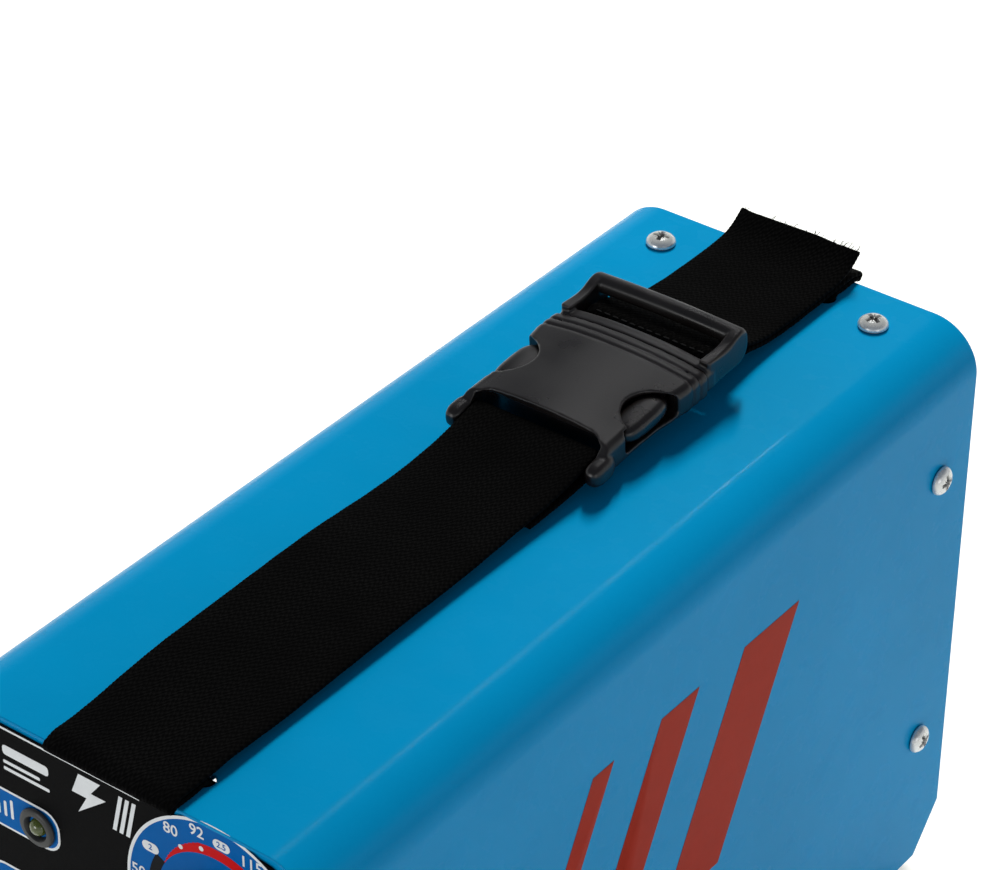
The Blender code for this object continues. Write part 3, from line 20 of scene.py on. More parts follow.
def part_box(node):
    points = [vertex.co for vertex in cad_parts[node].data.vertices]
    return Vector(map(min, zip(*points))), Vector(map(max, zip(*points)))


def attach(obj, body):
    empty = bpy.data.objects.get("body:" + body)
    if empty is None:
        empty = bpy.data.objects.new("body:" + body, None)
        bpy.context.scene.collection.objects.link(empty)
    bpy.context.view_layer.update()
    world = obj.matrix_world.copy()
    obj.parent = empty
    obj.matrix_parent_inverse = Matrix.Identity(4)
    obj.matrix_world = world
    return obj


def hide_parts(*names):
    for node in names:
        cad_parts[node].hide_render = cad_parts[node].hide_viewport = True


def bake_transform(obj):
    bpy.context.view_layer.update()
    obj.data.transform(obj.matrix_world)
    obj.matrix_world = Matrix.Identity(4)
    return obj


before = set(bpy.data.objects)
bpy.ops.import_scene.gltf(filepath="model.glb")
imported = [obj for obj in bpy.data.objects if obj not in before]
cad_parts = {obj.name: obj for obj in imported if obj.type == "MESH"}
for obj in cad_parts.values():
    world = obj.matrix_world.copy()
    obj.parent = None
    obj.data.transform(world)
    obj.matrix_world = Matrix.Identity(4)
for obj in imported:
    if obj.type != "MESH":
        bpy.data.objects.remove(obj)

LOG = logging.getLogger("inverter")

Colour = tuple[float, float, float]
Pair = tuple[float, float]
Node = bpy.types.Node
Piece = bpy.types.Object
Plug = bpy.types.NodeSocket
Shape = bmesh.types.BMesh

SIDEWAYS, REARWARDS, UPWARDS, FORWARDS = (1, 0, 0), (0, 1, 0), (0, 0, 1), (0, -1, 0)
BOTH_SIDES = (-1, 1)


# ---- node trees
class Nodes:
    """Adds nodes to a shader or geometry tree and links them."""

    def __init__(self, tree: bpy.types.NodeTree) -> None:
        """Wraps a tree.

        Args:
            tree: The shader or geometry tree that nodes are added to.
        """
        self.tree = tree

    def add(self, kind: str, inputs: dict[Any, Any] | None = None, **settings: Any) -> Node:
        """Adds one node.

        Args:
            kind: Blender's name for the node's type.
            inputs: Input name or index to a plain value or to another node's output socket.
            **settings: Settings of the node itself, such as its operation.

        Returns:
            The new node.
        """
        node = self.tree.nodes.new(kind)
        for key, value in settings.items():
            setattr(node, key, value)
        self.fill(node, inputs or {})
        return node

    def fill(self, node: Node, inputs: dict[Any, Any]) -> None:
        """Sets or links a node's inputs.

        Args:
            node: The node.
            inputs: Input name or index to a plain value or to another node's output socket.
        """
        for key, value in inputs.items():
            if isinstance(value, Plug):
                self.tree.links.new(value, node.inputs[key])
            else:
                node.inputs[key].default_value = value

    def math(self, operation: str, first: Any, second: Any = 0.0) -> Plug:
        """A Math node's result.

        Args:
            operation: The Math node's operation.
            first: Its first value or socket.
            second: Its second value or socket, where it has one.

        Returns:
            The output socket.
        """
        return self.add("ShaderNodeMath", {0: first, 1: second}, operation=operation).outputs[0]

    def times(self, first: Any, second: Any) -> Plug:
        """The product of two values or sockets."""
        return self.math("MULTIPLY", first, second)

    def sine(self, angle: Any) -> Plug:
        """The sine of a value or socket, in radians."""
        return self.math("SINE", angle)

    def noise(self, place: Plug, scale: float, detail: float = 3.0) -> Plug:
        """Noise from 0 to 1.

        Args:
            place: The coordinates that it reads.
            scale: Lumps per metre.
            detail: How many finer layers it has.

        Returns:
            The noise's value.
        """
        values = {"Vector": place, "Scale": scale, "Detail": detail}
        return self.add("ShaderNodeTexNoise", values).outputs["Fac"]

    def spread(self, value: Plug, low: float, high: float, start: float = 0.3, end: float = 0.7) -> Plug:
        """Maps a value's range onto another.

        Args:
            value: The socket to map.
            low: The result at start.
            high: The result at end.
            start: The value that gives low.
            end: The value that gives high.

        Returns:
            The mapped socket.
        """
        inputs = {"Value": value, "From Min": start, "From Max": end, "To Min": low, "To Max": high}
        return self.add("ShaderNodeMapRange", inputs).outputs[0]

    def blend(self, share: Any, first: Colour, second: Colour) -> Plug:
        """A colour between two.

        Args:
            share: 0 for the first colour, 1 for the second.
            first: The first colour.
            second: The second colour.

        Returns:
            The colour socket.
        """
        values = {0: share, 6: (*first, 1.0), 7: (*second, 1.0)}
        return self.add("ShaderNodeMix", values, data_type="RGBA").outputs[2]

    def bump(self, height: Any, depth: float, strength: float = 1.0, under: Any = None) -> Plug:
        """A bumped normal.

        Args:
            height: The height from 0 to 1.
            depth: What a height of 1 stands for, in metres.
            strength: The share of the effect.
            under: Another bump's normal that this one lies on.

        Returns:
            The normal socket.
        """
        values = {"Height": height, "Distance": depth, "Strength": strength}
        if under is not None:
            values["Normal"] = under
        return self.add("ShaderNodeBump", values).outputs[0]


# ---- finishes
def scaled(colour: Colour, factor: float) -> Colour:
    """A colour made lighter or darker."""
    return tuple(min(1.0, c * factor) for c in colour)


@dataclass(frozen=True)
class Finish:
    """A surface finish. Each kind of finish fills in the shader in its own way."""

    name: str
    colour: Colour
    roughness: float

    def shade(self, nodes: Nodes, shader: Node, place: Plug) -> None:
        """Fills in the shader.

        Args:
            nodes: The material's node tree.
            shader: The Principled shader.
            place: Object coordinates.
        """
        raise NotImplementedError

    def material(self) -> bpy.types.Material:
        """The finish as a material, made once.

        Returns:
            The material.
        """
        found = bpy.data.materials.get(self.name)
        if found is not None:
            return found
        made = bpy.data.materials.new(self.name)
        made.use_nodes = True
        nodes = Nodes(made.node_tree)
        shader = made.node_tree.nodes["Principled BSDF"]
        nodes.fill(shader, {"Base Color": (*self.colour, 1.0), "Roughness": self.roughness})
        made.diffuse_color = (*self.colour, 1.0)
        self.shade(nodes, shader, nodes.add("ShaderNodeTexCoord").outputs["Object"])
        return made

    def tone(self, nodes: Nodes, share: Plug, dark: float, light: float) -> Plug:
        """The finish's colour, between a darker and a lighter shade of itself."""
        return nodes.blend(share, scaled(self.colour, dark), scaled(self.colour, light))


@dataclass(frozen=True)
class PowderCoat(Finish):
    """Gloss powder coat with a fine orange peel."""

    peel_per_metre: float = 620.0
    peel_depth: float = 0.000035
    coat: float = 0.1
    gloss: float = 0.02

    def shade(self, nodes: Nodes, shader: Node, place: Plug) -> None:
        """Peel, slow waves of the sheet, faint handling marks and uneven film."""
        film = nodes.spread(nodes.noise(place, 14.0, 4.0), 0.0, 1.0)
        wave = nodes.bump(nodes.noise(place, 26.0, 1.0), 0.00022, 0.5)
        peel = nodes.bump(nodes.noise(place, self.peel_per_metre, 2.0), self.peel_depth, 0.9, wave)
        marks = nodes.noise(place, 95.0, 6.0)
        nodes.fill(shader, {
            "Specular IOR Level": self.gloss,
            "Coat Weight": self.coat,
            "Coat Roughness": 0.05,
            "Base Color": self.tone(nodes, film, 0.94, 1.05),
            "Roughness": nodes.spread(marks, self.roughness - 0.05, self.roughness + 0.09),
            "Normal": peel,
            "Coat Normal": peel,
        })


@dataclass(frozen=True)
class Moulded(Finish):
    """Moulded plastic or rubber with a fine grain, paler at sharp edges, as rubbed wear and a painted edge
    highlight.
    """

    grain_per_metre: float = 1900.0
    grain_depth: float = 0.00004
    # How much paler sharp edges are painted: rubbed wear and a painted edge highlight.
    rub: float = 1.6

    def shade(self, nodes: Nodes, shader: Node, place: Plug) -> None:
        """Grain, cloudy gloss, and sharp edges lightened as rubbed wear and a painted highlight."""
        cloud = nodes.noise(place, 70.0, 5.0)
        grain = nodes.noise(place, self.grain_per_metre, 2.0)
        edge = nodes.add("ShaderNodeNewGeometry").outputs["Pointiness"]
        # Painted highlight and wear: sharp edges lighten the base colour, more in some cloudy patches.
        edge_wear_and_highlight = nodes.times(nodes.spread(edge, 0.0, 1.0, 0.505, 0.56), nodes.spread(cloud, 0.4, 1.0))
        nodes.fill(shader, {
            "Base Color": self.tone(nodes, edge_wear_and_highlight, 1.0, self.rub),
            "Roughness": nodes.spread(cloud, self.roughness - 0.07, self.roughness + 0.09),
            "Normal": nodes.bump(grain, self.grain_depth, 0.7),
        })


@dataclass(frozen=True)
class BareMetal(Finish):
    """Plated, drawn or turned metal with streaks along one direction."""

    streaks: tuple[float, float, float] = (900.0, 900.0, 60.0)
    streak_depth: float = 0.00002
    tint: float = 0.8
    metal: float = 1.0

    def shade(self, nodes: Nodes, shader: Node, place: Plug) -> None:
        """Drawn streaks and cloudy plating."""
        drawn = nodes.add("ShaderNodeMapping", {"Vector": place, "Scale": self.streaks}).outputs[0]
        streak = nodes.noise(drawn, 1.0, 3.0)
        cloud = nodes.spread(nodes.noise(place, 160.0, 4.0), 0.0, 1.0)
        nodes.fill(shader, {
            "Metallic": self.metal,
            "Base Color": self.tone(nodes, cloud, self.tint, 1.0),
            "Roughness": nodes.spread(streak, self.roughness - 0.06, self.roughness + 0.12),
            "Normal": nodes.bump(streak, self.streak_depth, 0.6),
        })


@dataclass(frozen=True)
class Printed(Finish):
    """A printed film or ink: smooth, with a faint emboss."""

    gloss: float = 0.12

    def shade(self, nodes: Nodes, shader: Node, place: Plug) -> None:
        """A faint film texture and uneven ink."""
        fine = nodes.noise(place, 1400.0, 2.0)
        ink = nodes.spread(nodes.noise(place, 240.0, 3.0), 0.0, 1.0)
        nodes.fill(shader, {
            "Specular IOR Level": self.gloss,
            "Base Color": self.tone(nodes, ink, 0.93, 1.0),
            "Roughness": nodes.spread(fine, self.roughness - 0.05, self.roughness + 0.08),
            "Normal": nodes.bump(fine, 0.00002, 0.5),
        })


@dataclass(frozen=True)
class Woven(Finish):
    """Webbing, woven along its own map: across the band, then along it, in metres."""

    rib: float = 0.00155
    pick: float = 0.0021
    depth: float = 0.00032

    def shade(self, nodes: Nodes, shader: Node, place: Plug) -> None:
        """Warp ribs crossed by picks, with loose fibres, and painted shade and highlight: darker in the
        weave's hollows, lighter on its crowns, unevenly in patches.
        """
        weave = nodes.add("ShaderNodeUVMap", uv_map="weave").outputs[0]
        across, along, _ = nodes.add("ShaderNodeSeparateXYZ", {0: weave}).outputs
        ribs = nodes.times(across, math.tau / self.rib)
        picks = nodes.times(along, math.tau / self.pick)
        lean = nodes.math("ADD", picks, nodes.times(nodes.sine(nodes.times(ribs, 0.5)), 1.3))
        crossing = nodes.times(nodes.sine(ribs), nodes.sine(lean))
        drawn = nodes.add("ShaderNodeMapping", {"Vector": weave, "Scale": (5200.0, 900.0, 1.0)}).outputs[0]
        fibre = nodes.noise(drawn, 1.0)
        height = nodes.math("ADD", nodes.spread(crossing, 0.0, 0.8, -1.0, 1.0), nodes.times(fibre, 0.35))
        patchy = nodes.spread(nodes.noise(place, 60.0), 0.3, 1.0)
        # Painted shade and highlight: the weave's hollows darken the base colour and its crowns lighten it,
        # in patches.
        crown = nodes.times(nodes.spread(height, 0.0, 1.0, 0.45, 1.05), patchy)
        nodes.fill(shader, {
            "Sheen Weight": 0.005,
            "Sheen Roughness": 0.5,
            "Specular IOR Level": 0.03,
            "Base Color": self.tone(nodes, crown, 0.5, 1.9),
            "Roughness": nodes.spread(fibre, self.roughness - 0.1, self.roughness + 0.05),
            "Normal": nodes.bump(height, self.depth, 1.0),
        })


@dataclass(frozen=True)
class Lens(Finish):
    """A clear tinted lamp lens."""

    def shade(self, nodes: Nodes, shader: Node, place: Plug) -> None:
        """Tinted, partly clear plastic with a slight swirl."""
        swirl = nodes.noise(place, 420.0, 2.0)
        nodes.fill(shader, {
            "Transmission Weight": 0.35,
            "IOR": 1.5,
            "Coat Weight": 0.6,
            "Base Color": self.tone(nodes, nodes.spread(swirl, 0.0, 1.0), 0.7, 1.3),
            "Roughness": nodes.spread(swirl, self.roughness, self.roughness + 0.08),
        })


@dataclass(frozen=True)
class Board(Finish):
    """A circuit board: solder mask over copper tracks, with tinned pads."""

    def shade(self, nodes: Nodes, shader: Node, place: Plug) -> None:
        """Tracks as the edges of square cells, pads as small spots."""
        cells = nodes.add("ShaderNodeTexVoronoi", {"Vector": place, "Scale": 130.0}, distance="CHEBYCHEV")
        track = nodes.spread(cells.outputs["Distance"], 1.0, 0.0, 0.28, 0.34)
        spots = nodes.add("ShaderNodeTexVoronoi", {"Vector": place, "Scale": 260.0, "Randomness": 0.35})
        pad = nodes.spread(spots.outputs["Distance"], 1.0, 0.0, 0.14, 0.17)
        mask = self.tone(nodes, track, 0.7, 1.5)
        tinned = {0: pad, 6: mask, 7: (0.62, 0.62, 0.6, 1.0)}
        nodes.fill(shader, {
            "Base Color": nodes.add("ShaderNodeMix", tinned, data_type="RGBA").outputs[2],
            "Roughness": nodes.spread(track, self.roughness - 0.1, self.roughness + 0.05, 0.0, 1.0),
            "Normal": nodes.bump(nodes.math("MAXIMUM", track, pad), 0.00006),
        })


@dataclass(frozen=True)
class Wound(Finish):
    """Enamelled copper wire wound in rows along one axis."""

    wire: float = 0.0016
    axis: int = 2

    def shade(self, nodes: Nodes, shader: Node, place: Plug) -> None:
        """Rows of round wire, with painted shade darkening the colour between the turns."""
        along = nodes.add("ShaderNodeSeparateXYZ", {0: place}).outputs[self.axis]
        turn = nodes.math("ABSOLUTE", nodes.sine(nodes.times(along, math.pi / self.wire)))
        nodes.fill(shader, {
            "Metallic": 1.0,
            # Painted shade: the base colour darkens in the grooves between the turns.
            "Base Color": self.tone(nodes, nodes.spread(turn, 0.0, 1.0, 0.0, 0.5), 0.15, 1.0),
            "Roughness": nodes.spread(nodes.noise(place, 500.0), self.roughness - 0.05, self.roughness + 0.1),
            "Normal": nodes.bump(turn, 0.0006),
        })


PAINT = PowderCoat("blue_powder_coat", (0.0002, 0.252, 0.54), 0.24)
RED_PRINT = Printed("red_side_print", (0.35, 0.032, 0.018), 0.34, 0.02)
FILM = Printed("black_label_film", (0.0022, 0.0022, 0.0026), 0.42, 0.02)
WHITE_INK = Printed("white_ink", (0.78, 0.8, 0.81), 0.42)
BLUE_INK = Printed("blue_ink", (0.0006, 0.115, 0.4), 0.4, 0.03)
RED_INK = Printed("red_ink", (0.62, 0.01, 0.012), 0.4, 0.03)
GREY_INK = Printed("grey_ink", (0.01, 0.011, 0.013), 0.42, 0.03)
ZINC = BareMetal("bright_zinc", (0.8, 0.8, 0.79), 0.22, (500.0, 500.0, 500.0), 0.00001, 0.85, 0.55)
STEEL = BareMetal("plain_steel", (0.46, 0.47, 0.48), 0.38, (40.0, 900.0, 900.0))
CHROME = BareMetal("chrome_wire", (0.78, 0.79, 0.8), 0.12, (300.0, 300.0, 300.0), 0.000005)
BRASS = BareMetal("turned_brass", (0.72, 0.49, 0.19), 0.24, (60.0, 1500.0, 60.0))
ALUMINIUM = BareMetal("extruded_aluminium", (0.66, 0.67, 0.69), 0.36, (900.0, 30.0, 900.0))
BUSBAR = BareMetal("bare_copper", (0.7, 0.33, 0.18), 0.3, (60.0, 700.0, 60.0))
RUBBER = Moulded("foot_rubber", (0.014, 0.014, 0.014), 0.82, 900.0, 0.00006, 1.3)
PLASTIC = Moulded("black_housing_plastic", (0.009, 0.009, 0.0095), 0.4)
BUCKLE = Moulded("buckle_acetal", (0.0054, 0.0042, 0.004), 0.3, 2400.0, 0.00003, 2.6)
KNOB = Moulded("knob_plastic", (0.016, 0.016, 0.018), 0.38, 1500.0, 0.00003, 2.2)
ROCKER = Moulded("rocker_plastic", (0.42, 0.015, 0.015), 0.24, 800.0, 0.00001, 1.1)
FERRITE = Moulded("ferrite_core", (0.055, 0.055, 0.06), 0.68, 700.0, 0.00008, 1.2)
SLEEVE = Moulded("capacitor_sleeve", (0.02, 0.03, 0.09), 0.3, 500.0, 0.00001, 1.2)
WEBBING = Woven("black_webbing", (0.0026, 0.0025, 0.0026), 0.88)
# Blacked steel for the strap bars, dark also as painted shadow under the strap, and dark painted shade for
# the screw recesses.
BLACKED_AND_SHADE = Moulded("blacked_steel", (0.01, 0.01, 0.01), 0.55, 900.0, 0.00002, 1.2)
WEBBING_FIBRE = Moulded("loose_fibre", (0.006, 0.006, 0.006), 0.8, 4000.0, 0.00002, 1.2)
THREAD = Moulded("grey_thread", (0.014, 0.0135, 0.0135), 0.75, 4000.0, 0.00002, 1.2)
LENS_GREEN = Lens("green_lens", (0.1, 0.13, 0.012), 0.1)
LENS_AMBER = Lens("amber_lens", (0.36, 0.16, 0.012), 0.1)
CIRCUIT = Board("circuit_board", (0.016, 0.135, 0.055), 0.42)
WINDING = Wound("transformer_wire", (0.62, 0.27, 0.13), 0.28)
CHOKE = Wound("choke_wire", (0.62, 0.27, 0.13), 0.28, 0.0022, 0)


# ---- outlines
def arc(centre: Pair, radius: float, start: float, end: float, steps: int) -> list[Pair]:
    """Points on an arc, ends included.

    Args:
        centre: The arc's centre.
        radius: Its radius.
        start: Where it starts, in degrees from the first axis.
        end: Where it ends.
        steps: How many stretches it has.

    Returns:
        The points.
    """
    angles = [math.radians(start + (end - start) * k / steps) for k in range(steps + 1)]
    return [(centre[0] + radius * math.cos(a), centre[1] + radius * math.sin(a)) for a in angles]


def obround(centre: Pair, length: float, width: float, steps: int = 8) -> list[Pair]:
    """A slot outline with round ends, its length along the first axis."""
    reach = (length - width) / 2
    right = arc((centre[0] + reach, centre[1]), width / 2, -90, 90, steps)
    return right + arc((centre[0] - reach, centre[1]), width / 2, 90, 270, steps)


def rounded(centre: Pair, size: Pair, radius: float, steps: int = 6) -> list[Pair]:
    """A rectangle outline with round corners."""
    half_a, half_b = size[0] / 2 - radius, size[1] / 2 - radius
    corners = ((half_a, half_b, 0), (-half_a, half_b, 90), (-half_a, -half_b, 180), (half_a, -half_b, 270))
    outline = []
    for a, b, start in corners:
        outline += arc((centre[0] + a, centre[1] + b), radius, start, start + 90, steps)
    return outline


def smooth_route(points: Sequence[Pair], steps: int) -> list[Pair]:
    """A Catmull-Rom curve through points.

    Args:
        points: The points, as (v, z).
        steps: How many stretches lie between each two.

    Returns:
        The curve's points.
    """
    ends = [points[0], *points, points[-1]]
    route = []
    for before, start, end, after in zip(ends, ends[1:], ends[2:], ends[3:]):
        for k in range(steps):
            t = k / steps
            route.append(tuple(
                0.5 * (2 * b + (c - a) * t
                       + (2 * a - 5 * b + 4 * c - d) * t * t
                       + (3 * b - a - 3 * c + d) * t**3)
                for a, b, c, d in zip(before, start, end, after)
            ))
    return [*route, points[-1]]


# ---- meshes
def prism(outline: Sequence[Pair], axis: str, low: float, high: float) -> Shape:
    """A closed outline carried along an axis.

    Args:
        outline: (x, z) along Y, (y, z) along X or (x, y) along Z.
        axis: X, Y or Z.
        low: Where it starts on that axis.
        high: Where it ends.

    Returns:
        The closed shape.
    """
    spots: Callable = {
        "X": lambda a, b, t: (t, a, b),
        "Y": lambda a, b, t: (a, t, b),
        "Z": lambda a, b, t: (a, b, t),
    }[axis]
    shape = bmesh.new()
    ends = [[shape.verts.new(spots(a, b, t)) for a, b in outline] for t in (low, high)]
    shape.faces.new(ends[0])
    shape.faces.new(ends[1])
    for k in range(len(outline)):
        n = (k + 1) % len(outline)
        shape.faces.new((ends[0][k], ends[0][n], ends[1][n], ends[1][k]))
    return shape


def box_shape(low: Sequence[float], high: Sequence[float]) -> Shape:
    """A box between two corners."""
    outline = [(low[0], low[1]), (high[0], low[1]), (high[0], high[1]), (low[0], high[1])]
    return prism(outline, "Z", low[2], high[2])


def loft(rings: Sequence[Sequence[Vector]], closed: bool = False) -> Shape:
    """Skins rings of equally many points.

    Args:
        rings: The rings in order.
        closed: True if the last ring meets the first, and False if the ends are capped.

    Returns:
        The closed shape.
    """
    shape = bmesh.new()
    loops = [[shape.verts.new(p) for p in ring] for ring in rings]
    pairs = list(zip(loops, loops[1:])) + ([(loops[-1], loops[0])] if closed else [])
    for one, two in pairs:
        for k in range(len(one)):
            n = (k + 1) % len(one)
            shape.faces.new((one[k], one[n], two[n], two[k]))
    if not closed:
        shape.faces.new(loops[0])
        shape.faces.new(loops[-1])
    return shape


def turned(
    profile: Sequence[Pair],
    centre: Sequence[float],
    axis: Sequence[float],
    segments: int = 64,
    ring: bool = False,
    swell: Callable[[float, int], float] | None = None,
) -> Shape:
    """A profile turned about an axis.

    Args:
        profile: (radius, distance along the axis) points.
        centre: A point on the axis, where distance is 0.
        axis: The axis's direction.
        segments: How many facets a turn has.
        ring: True if the profile closes on itself.
        swell: What is added to the radius at (angle, index in the profile), for flutes.

    Returns:
        The closed shape.
    """
    along = Vector(axis).normalized()
    side = Vector((0, 0, 1)) if abs(along.z) < 0.9 else Vector((1, 0, 0))
    across = along.cross(side).normalized()
    shape = bmesh.new()
    rings = []
    for index, (radius, distance) in enumerate(profile):
        middle = Vector(centre) + along * distance
        if radius == 0:
            rings.append([shape.verts.new(middle)])
            continue
        loop = []
        for k in range(segments):
            angle = math.tau * k / segments
            reach = radius + (swell(angle, index) if swell else 0.0)
            loop.append(shape.verts.new(middle + reach * (math.cos(angle) * side + math.sin(angle) * across)))
        rings.append(loop)
    for one, two in zip(rings, rings[1:] + rings[:1] if ring else rings[1:]):
        for k in range(segments):
            n = (k + 1) % segments
            corners = [one[k % len(one)], one[n % len(one)], two[n % len(two)], two[k % len(two)]]
            if len(one) + len(two) > 2:
                shape.faces.new(list(dict.fromkeys(corners)))
    return shape


def pillow(centre: Sequence[float], radii: Sequence[float], power: float, steps: int = 20) -> Shape:
    """A rounded block between a box and an ellipsoid.

    Args:
        centre: Its middle.
        radii: Half its size along each axis.
        power: 2 for an ellipsoid, and more for a boxier shape.
        steps: How many facets half a turn has.

    Returns:
        The closed shape.
    """

    def bent(value: float) -> float:
        """A sine or cosine, pushed towards 1 and -1."""
        return math.copysign(abs(value) ** (2 / power), value)

    middle = Vector(centre)
    rings = []
    for j in range(1, steps):
        tall = math.pi * (j / steps - 0.5)
        ring = []
        for k in range(2 * steps):
            turn = math.tau * k / (2 * steps)
            wide = bent(math.cos(tall))
            spot = (wide * bent(math.cos(turn)), wide * bent(math.sin(turn)), bent(math.sin(tall)))
            ring.append(middle + Vector([s * r for s, r in zip(spot, radii)]))
        rings.append(ring)
    return loft(rings)


def tube(points: Sequence[Vector], radius: float, sides: int = 10) -> Shape:
    """A round tube along points, with flat ends.

    Args:
        points: The points of its centreline.
        radius: Its radius.
        sides: How many sides it has.

    Returns:
        The closed shape.
    """
    rings = []
    side = None
    for k, point in enumerate(points):
        along = (points[min(k + 1, len(points) - 1)] - points[max(k - 1, 0)]).normalized()
        if side is None:
            side = along.orthogonal().normalized()
        side = (side - along * side.dot(along)).normalized()
        across = along.cross(side)
        turns = [math.tau * j / sides for j in range(sides)]
        rings.append([point + radius * (math.cos(t) * side + math.sin(t) * across) for t in turns])
    return loft(rings)


def moved(shape: Shape, matrix: Matrix) -> Shape:
    """The same shape, moved by a matrix."""
    bmesh.ops.transform(shape, matrix=matrix, verts=shape.verts)
    return shape


def joined(shapes: Iterable[Shape]) -> Shape:
    """Several shapes in one, each still a body of its own."""
    whole = bmesh.new()
    for shape in shapes:
        scratch = bpy.data.meshes.new("scratch")
        bmesh.ops.recalc_face_normals(shape, faces=shape.faces)
        shape.to_mesh(scratch)
        shape.free()
        whole.from_mesh(scratch)
        bpy.data.meshes.remove(scratch)
    return whole


def placed(name: str, data: bpy.types.ID) -> Piece:
    """A new object in the scene, at the origin."""
    made = bpy.data.objects.new(name, data)
    bpy.context.scene.collection.objects.link(made)
    return made


def guide_line(name: str, points: Iterable[Sequence[float]], edges: Sequence[tuple[int, int]] = ()) -> Piece:
    """An object of bare points, and of edges between them, for a tree to read."""
    mesh = bpy.data.meshes.new(name)
    mesh.from_pydata([tuple(point) for point in points], edges, [])
    return placed(name, mesh)


def shape_of(made: Piece) -> Shape:
    """Takes an object's mesh as a shape, and removes the object."""
    shape = bmesh.new()
    shape.from_mesh(made.data)
    bpy.data.objects.remove(made)
    return shape


def as_object(name: str, shape: Shape, sharp: float = 35.0) -> Piece:
    """Puts a shape into the scene.

    Args:
        name: The object's name.
        shape: The shape, which is used up.
        sharp: The angle in degrees past which an edge stays sharp.

    Returns:
        The object, at the origin.
    """
    bmesh.ops.recalc_face_normals(shape, faces=shape.faces)
    mesh = bpy.data.meshes.new(name)
    shape.to_mesh(mesh)
    shape.free()
    return smoothed(placed(name, mesh), sharp)


def smoothed(made: Piece, sharp: float = 35.0) -> Piece:
    """Shades an object smooth, but for edges sharper than an angle in degrees."""
    made.data.shade_smooth()
    made.data.set_sharp_from_angle(angle=math.radians(sharp))
    return made


def settled(made: Piece) -> Piece:
    """Turns an object's modifiers into plain mesh."""
    bpy.context.view_layer.update()
    evaluated = made.evaluated_get(bpy.context.evaluated_depsgraph_get())
    mesh = bpy.data.meshes.new_from_object(evaluated)
    made.modifiers.clear()
    old, made.data = made.data, mesh
    bpy.data.meshes.remove(old)
    mesh.name = made.name
    return made


def carved(made: Piece, cutters: Iterable[Shape], operation: str = "DIFFERENCE") -> Piece:
    """Cuts shapes out of an object, or joins them to it.

    Args:
        made: The object.
        cutters: The shapes, which are used up.
        operation: The Boolean modifier's operation.

    Returns:
        The object.
    """
    tools = [as_object(f"tool_{k}", shape) for k, shape in enumerate(cutters)]
    for tool in tools:
        step = made.modifiers.new("step", "BOOLEAN")
        step.operation = operation
        step.solver = "EXACT"
        step.object = tool
    settled(made)
    for tool in tools:
        bpy.data.objects.remove(tool)
    return made


def softened(made: Piece, width: float, segments: int = 2, angle: float = 40.0) -> Piece:
    """Rounds an object's sharp edges and keeps its flat faces flat in the shading.

    Args:
        made: The object.
        width: The rounding's width.
        segments: How many facets the rounding has.
        angle: The angle in degrees past which an edge is rounded.

    Returns:
        The object.
    """
    bevel = made.modifiers.new("edge", "BEVEL")
    bevel.width = width
    bevel.segments = segments
    bevel.limit_method = "ANGLE"
    bevel.angle_limit = math.radians(angle)
    bevel.use_clamp_overlap = True
    smoothed(settled(made), 180.0)
    made.modifiers.new("weigh", "WEIGHTED_NORMAL").keep_sharp = False
    return settled(made)


def moulding(made: Piece, voxel: float, rounds: int, keep: float) -> Piece:
    """Melts an object's shapes into one soft-edged moulding.

    Args:
        made: The object.
        voxel: The size of the grid that it is remade on.
        rounds: How often it is smoothed.
        keep: The share of its triangles that is kept.

    Returns:
        The object.
    """
    remesh = made.modifiers.new("melt", "REMESH")
    remesh.mode = "VOXEL"
    remesh.voxel_size = voxel
    relax = made.modifiers.new("relax", "SMOOTH")
    relax.factor = 0.5
    relax.iterations = rounds
    thin = made.modifiers.new("thin", "DECIMATE")
    thin.ratio = keep
    return smoothed(settled(made), 180.0)


def painted(made: Piece, finish: Finish) -> None:
    """Gives an object one finish all over."""
    made.data.materials.clear()
    made.data.materials.append(finish.material())
    for polygon in made.data.polygons:
        polygon.material_index = 0


def repaint(node: str, finish: Finish) -> None:
    """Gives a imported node, whose shape is kept, a finish of this script."""
    painted(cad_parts[node], finish)
    LOG.info("%s: packed shape, %s", node, finish.name)


def dressed(
    made: Piece,
    finish: Finish,
    stands_for: Sequence[str] = (),
    body: str = "root",
    rides: bool = True,
) -> Piece:
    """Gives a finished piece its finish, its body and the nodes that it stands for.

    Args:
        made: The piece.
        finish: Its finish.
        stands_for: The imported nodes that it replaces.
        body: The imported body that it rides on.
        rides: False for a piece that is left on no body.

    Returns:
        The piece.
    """
    painted(made, finish)
    if rides:
        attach(made, body)
    if stands_for:
        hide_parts(*stands_for)
    LOG.info("%s: %d faces, %s, on %s", made.name, len(made.data.polygons), finish.name, body)
    return made


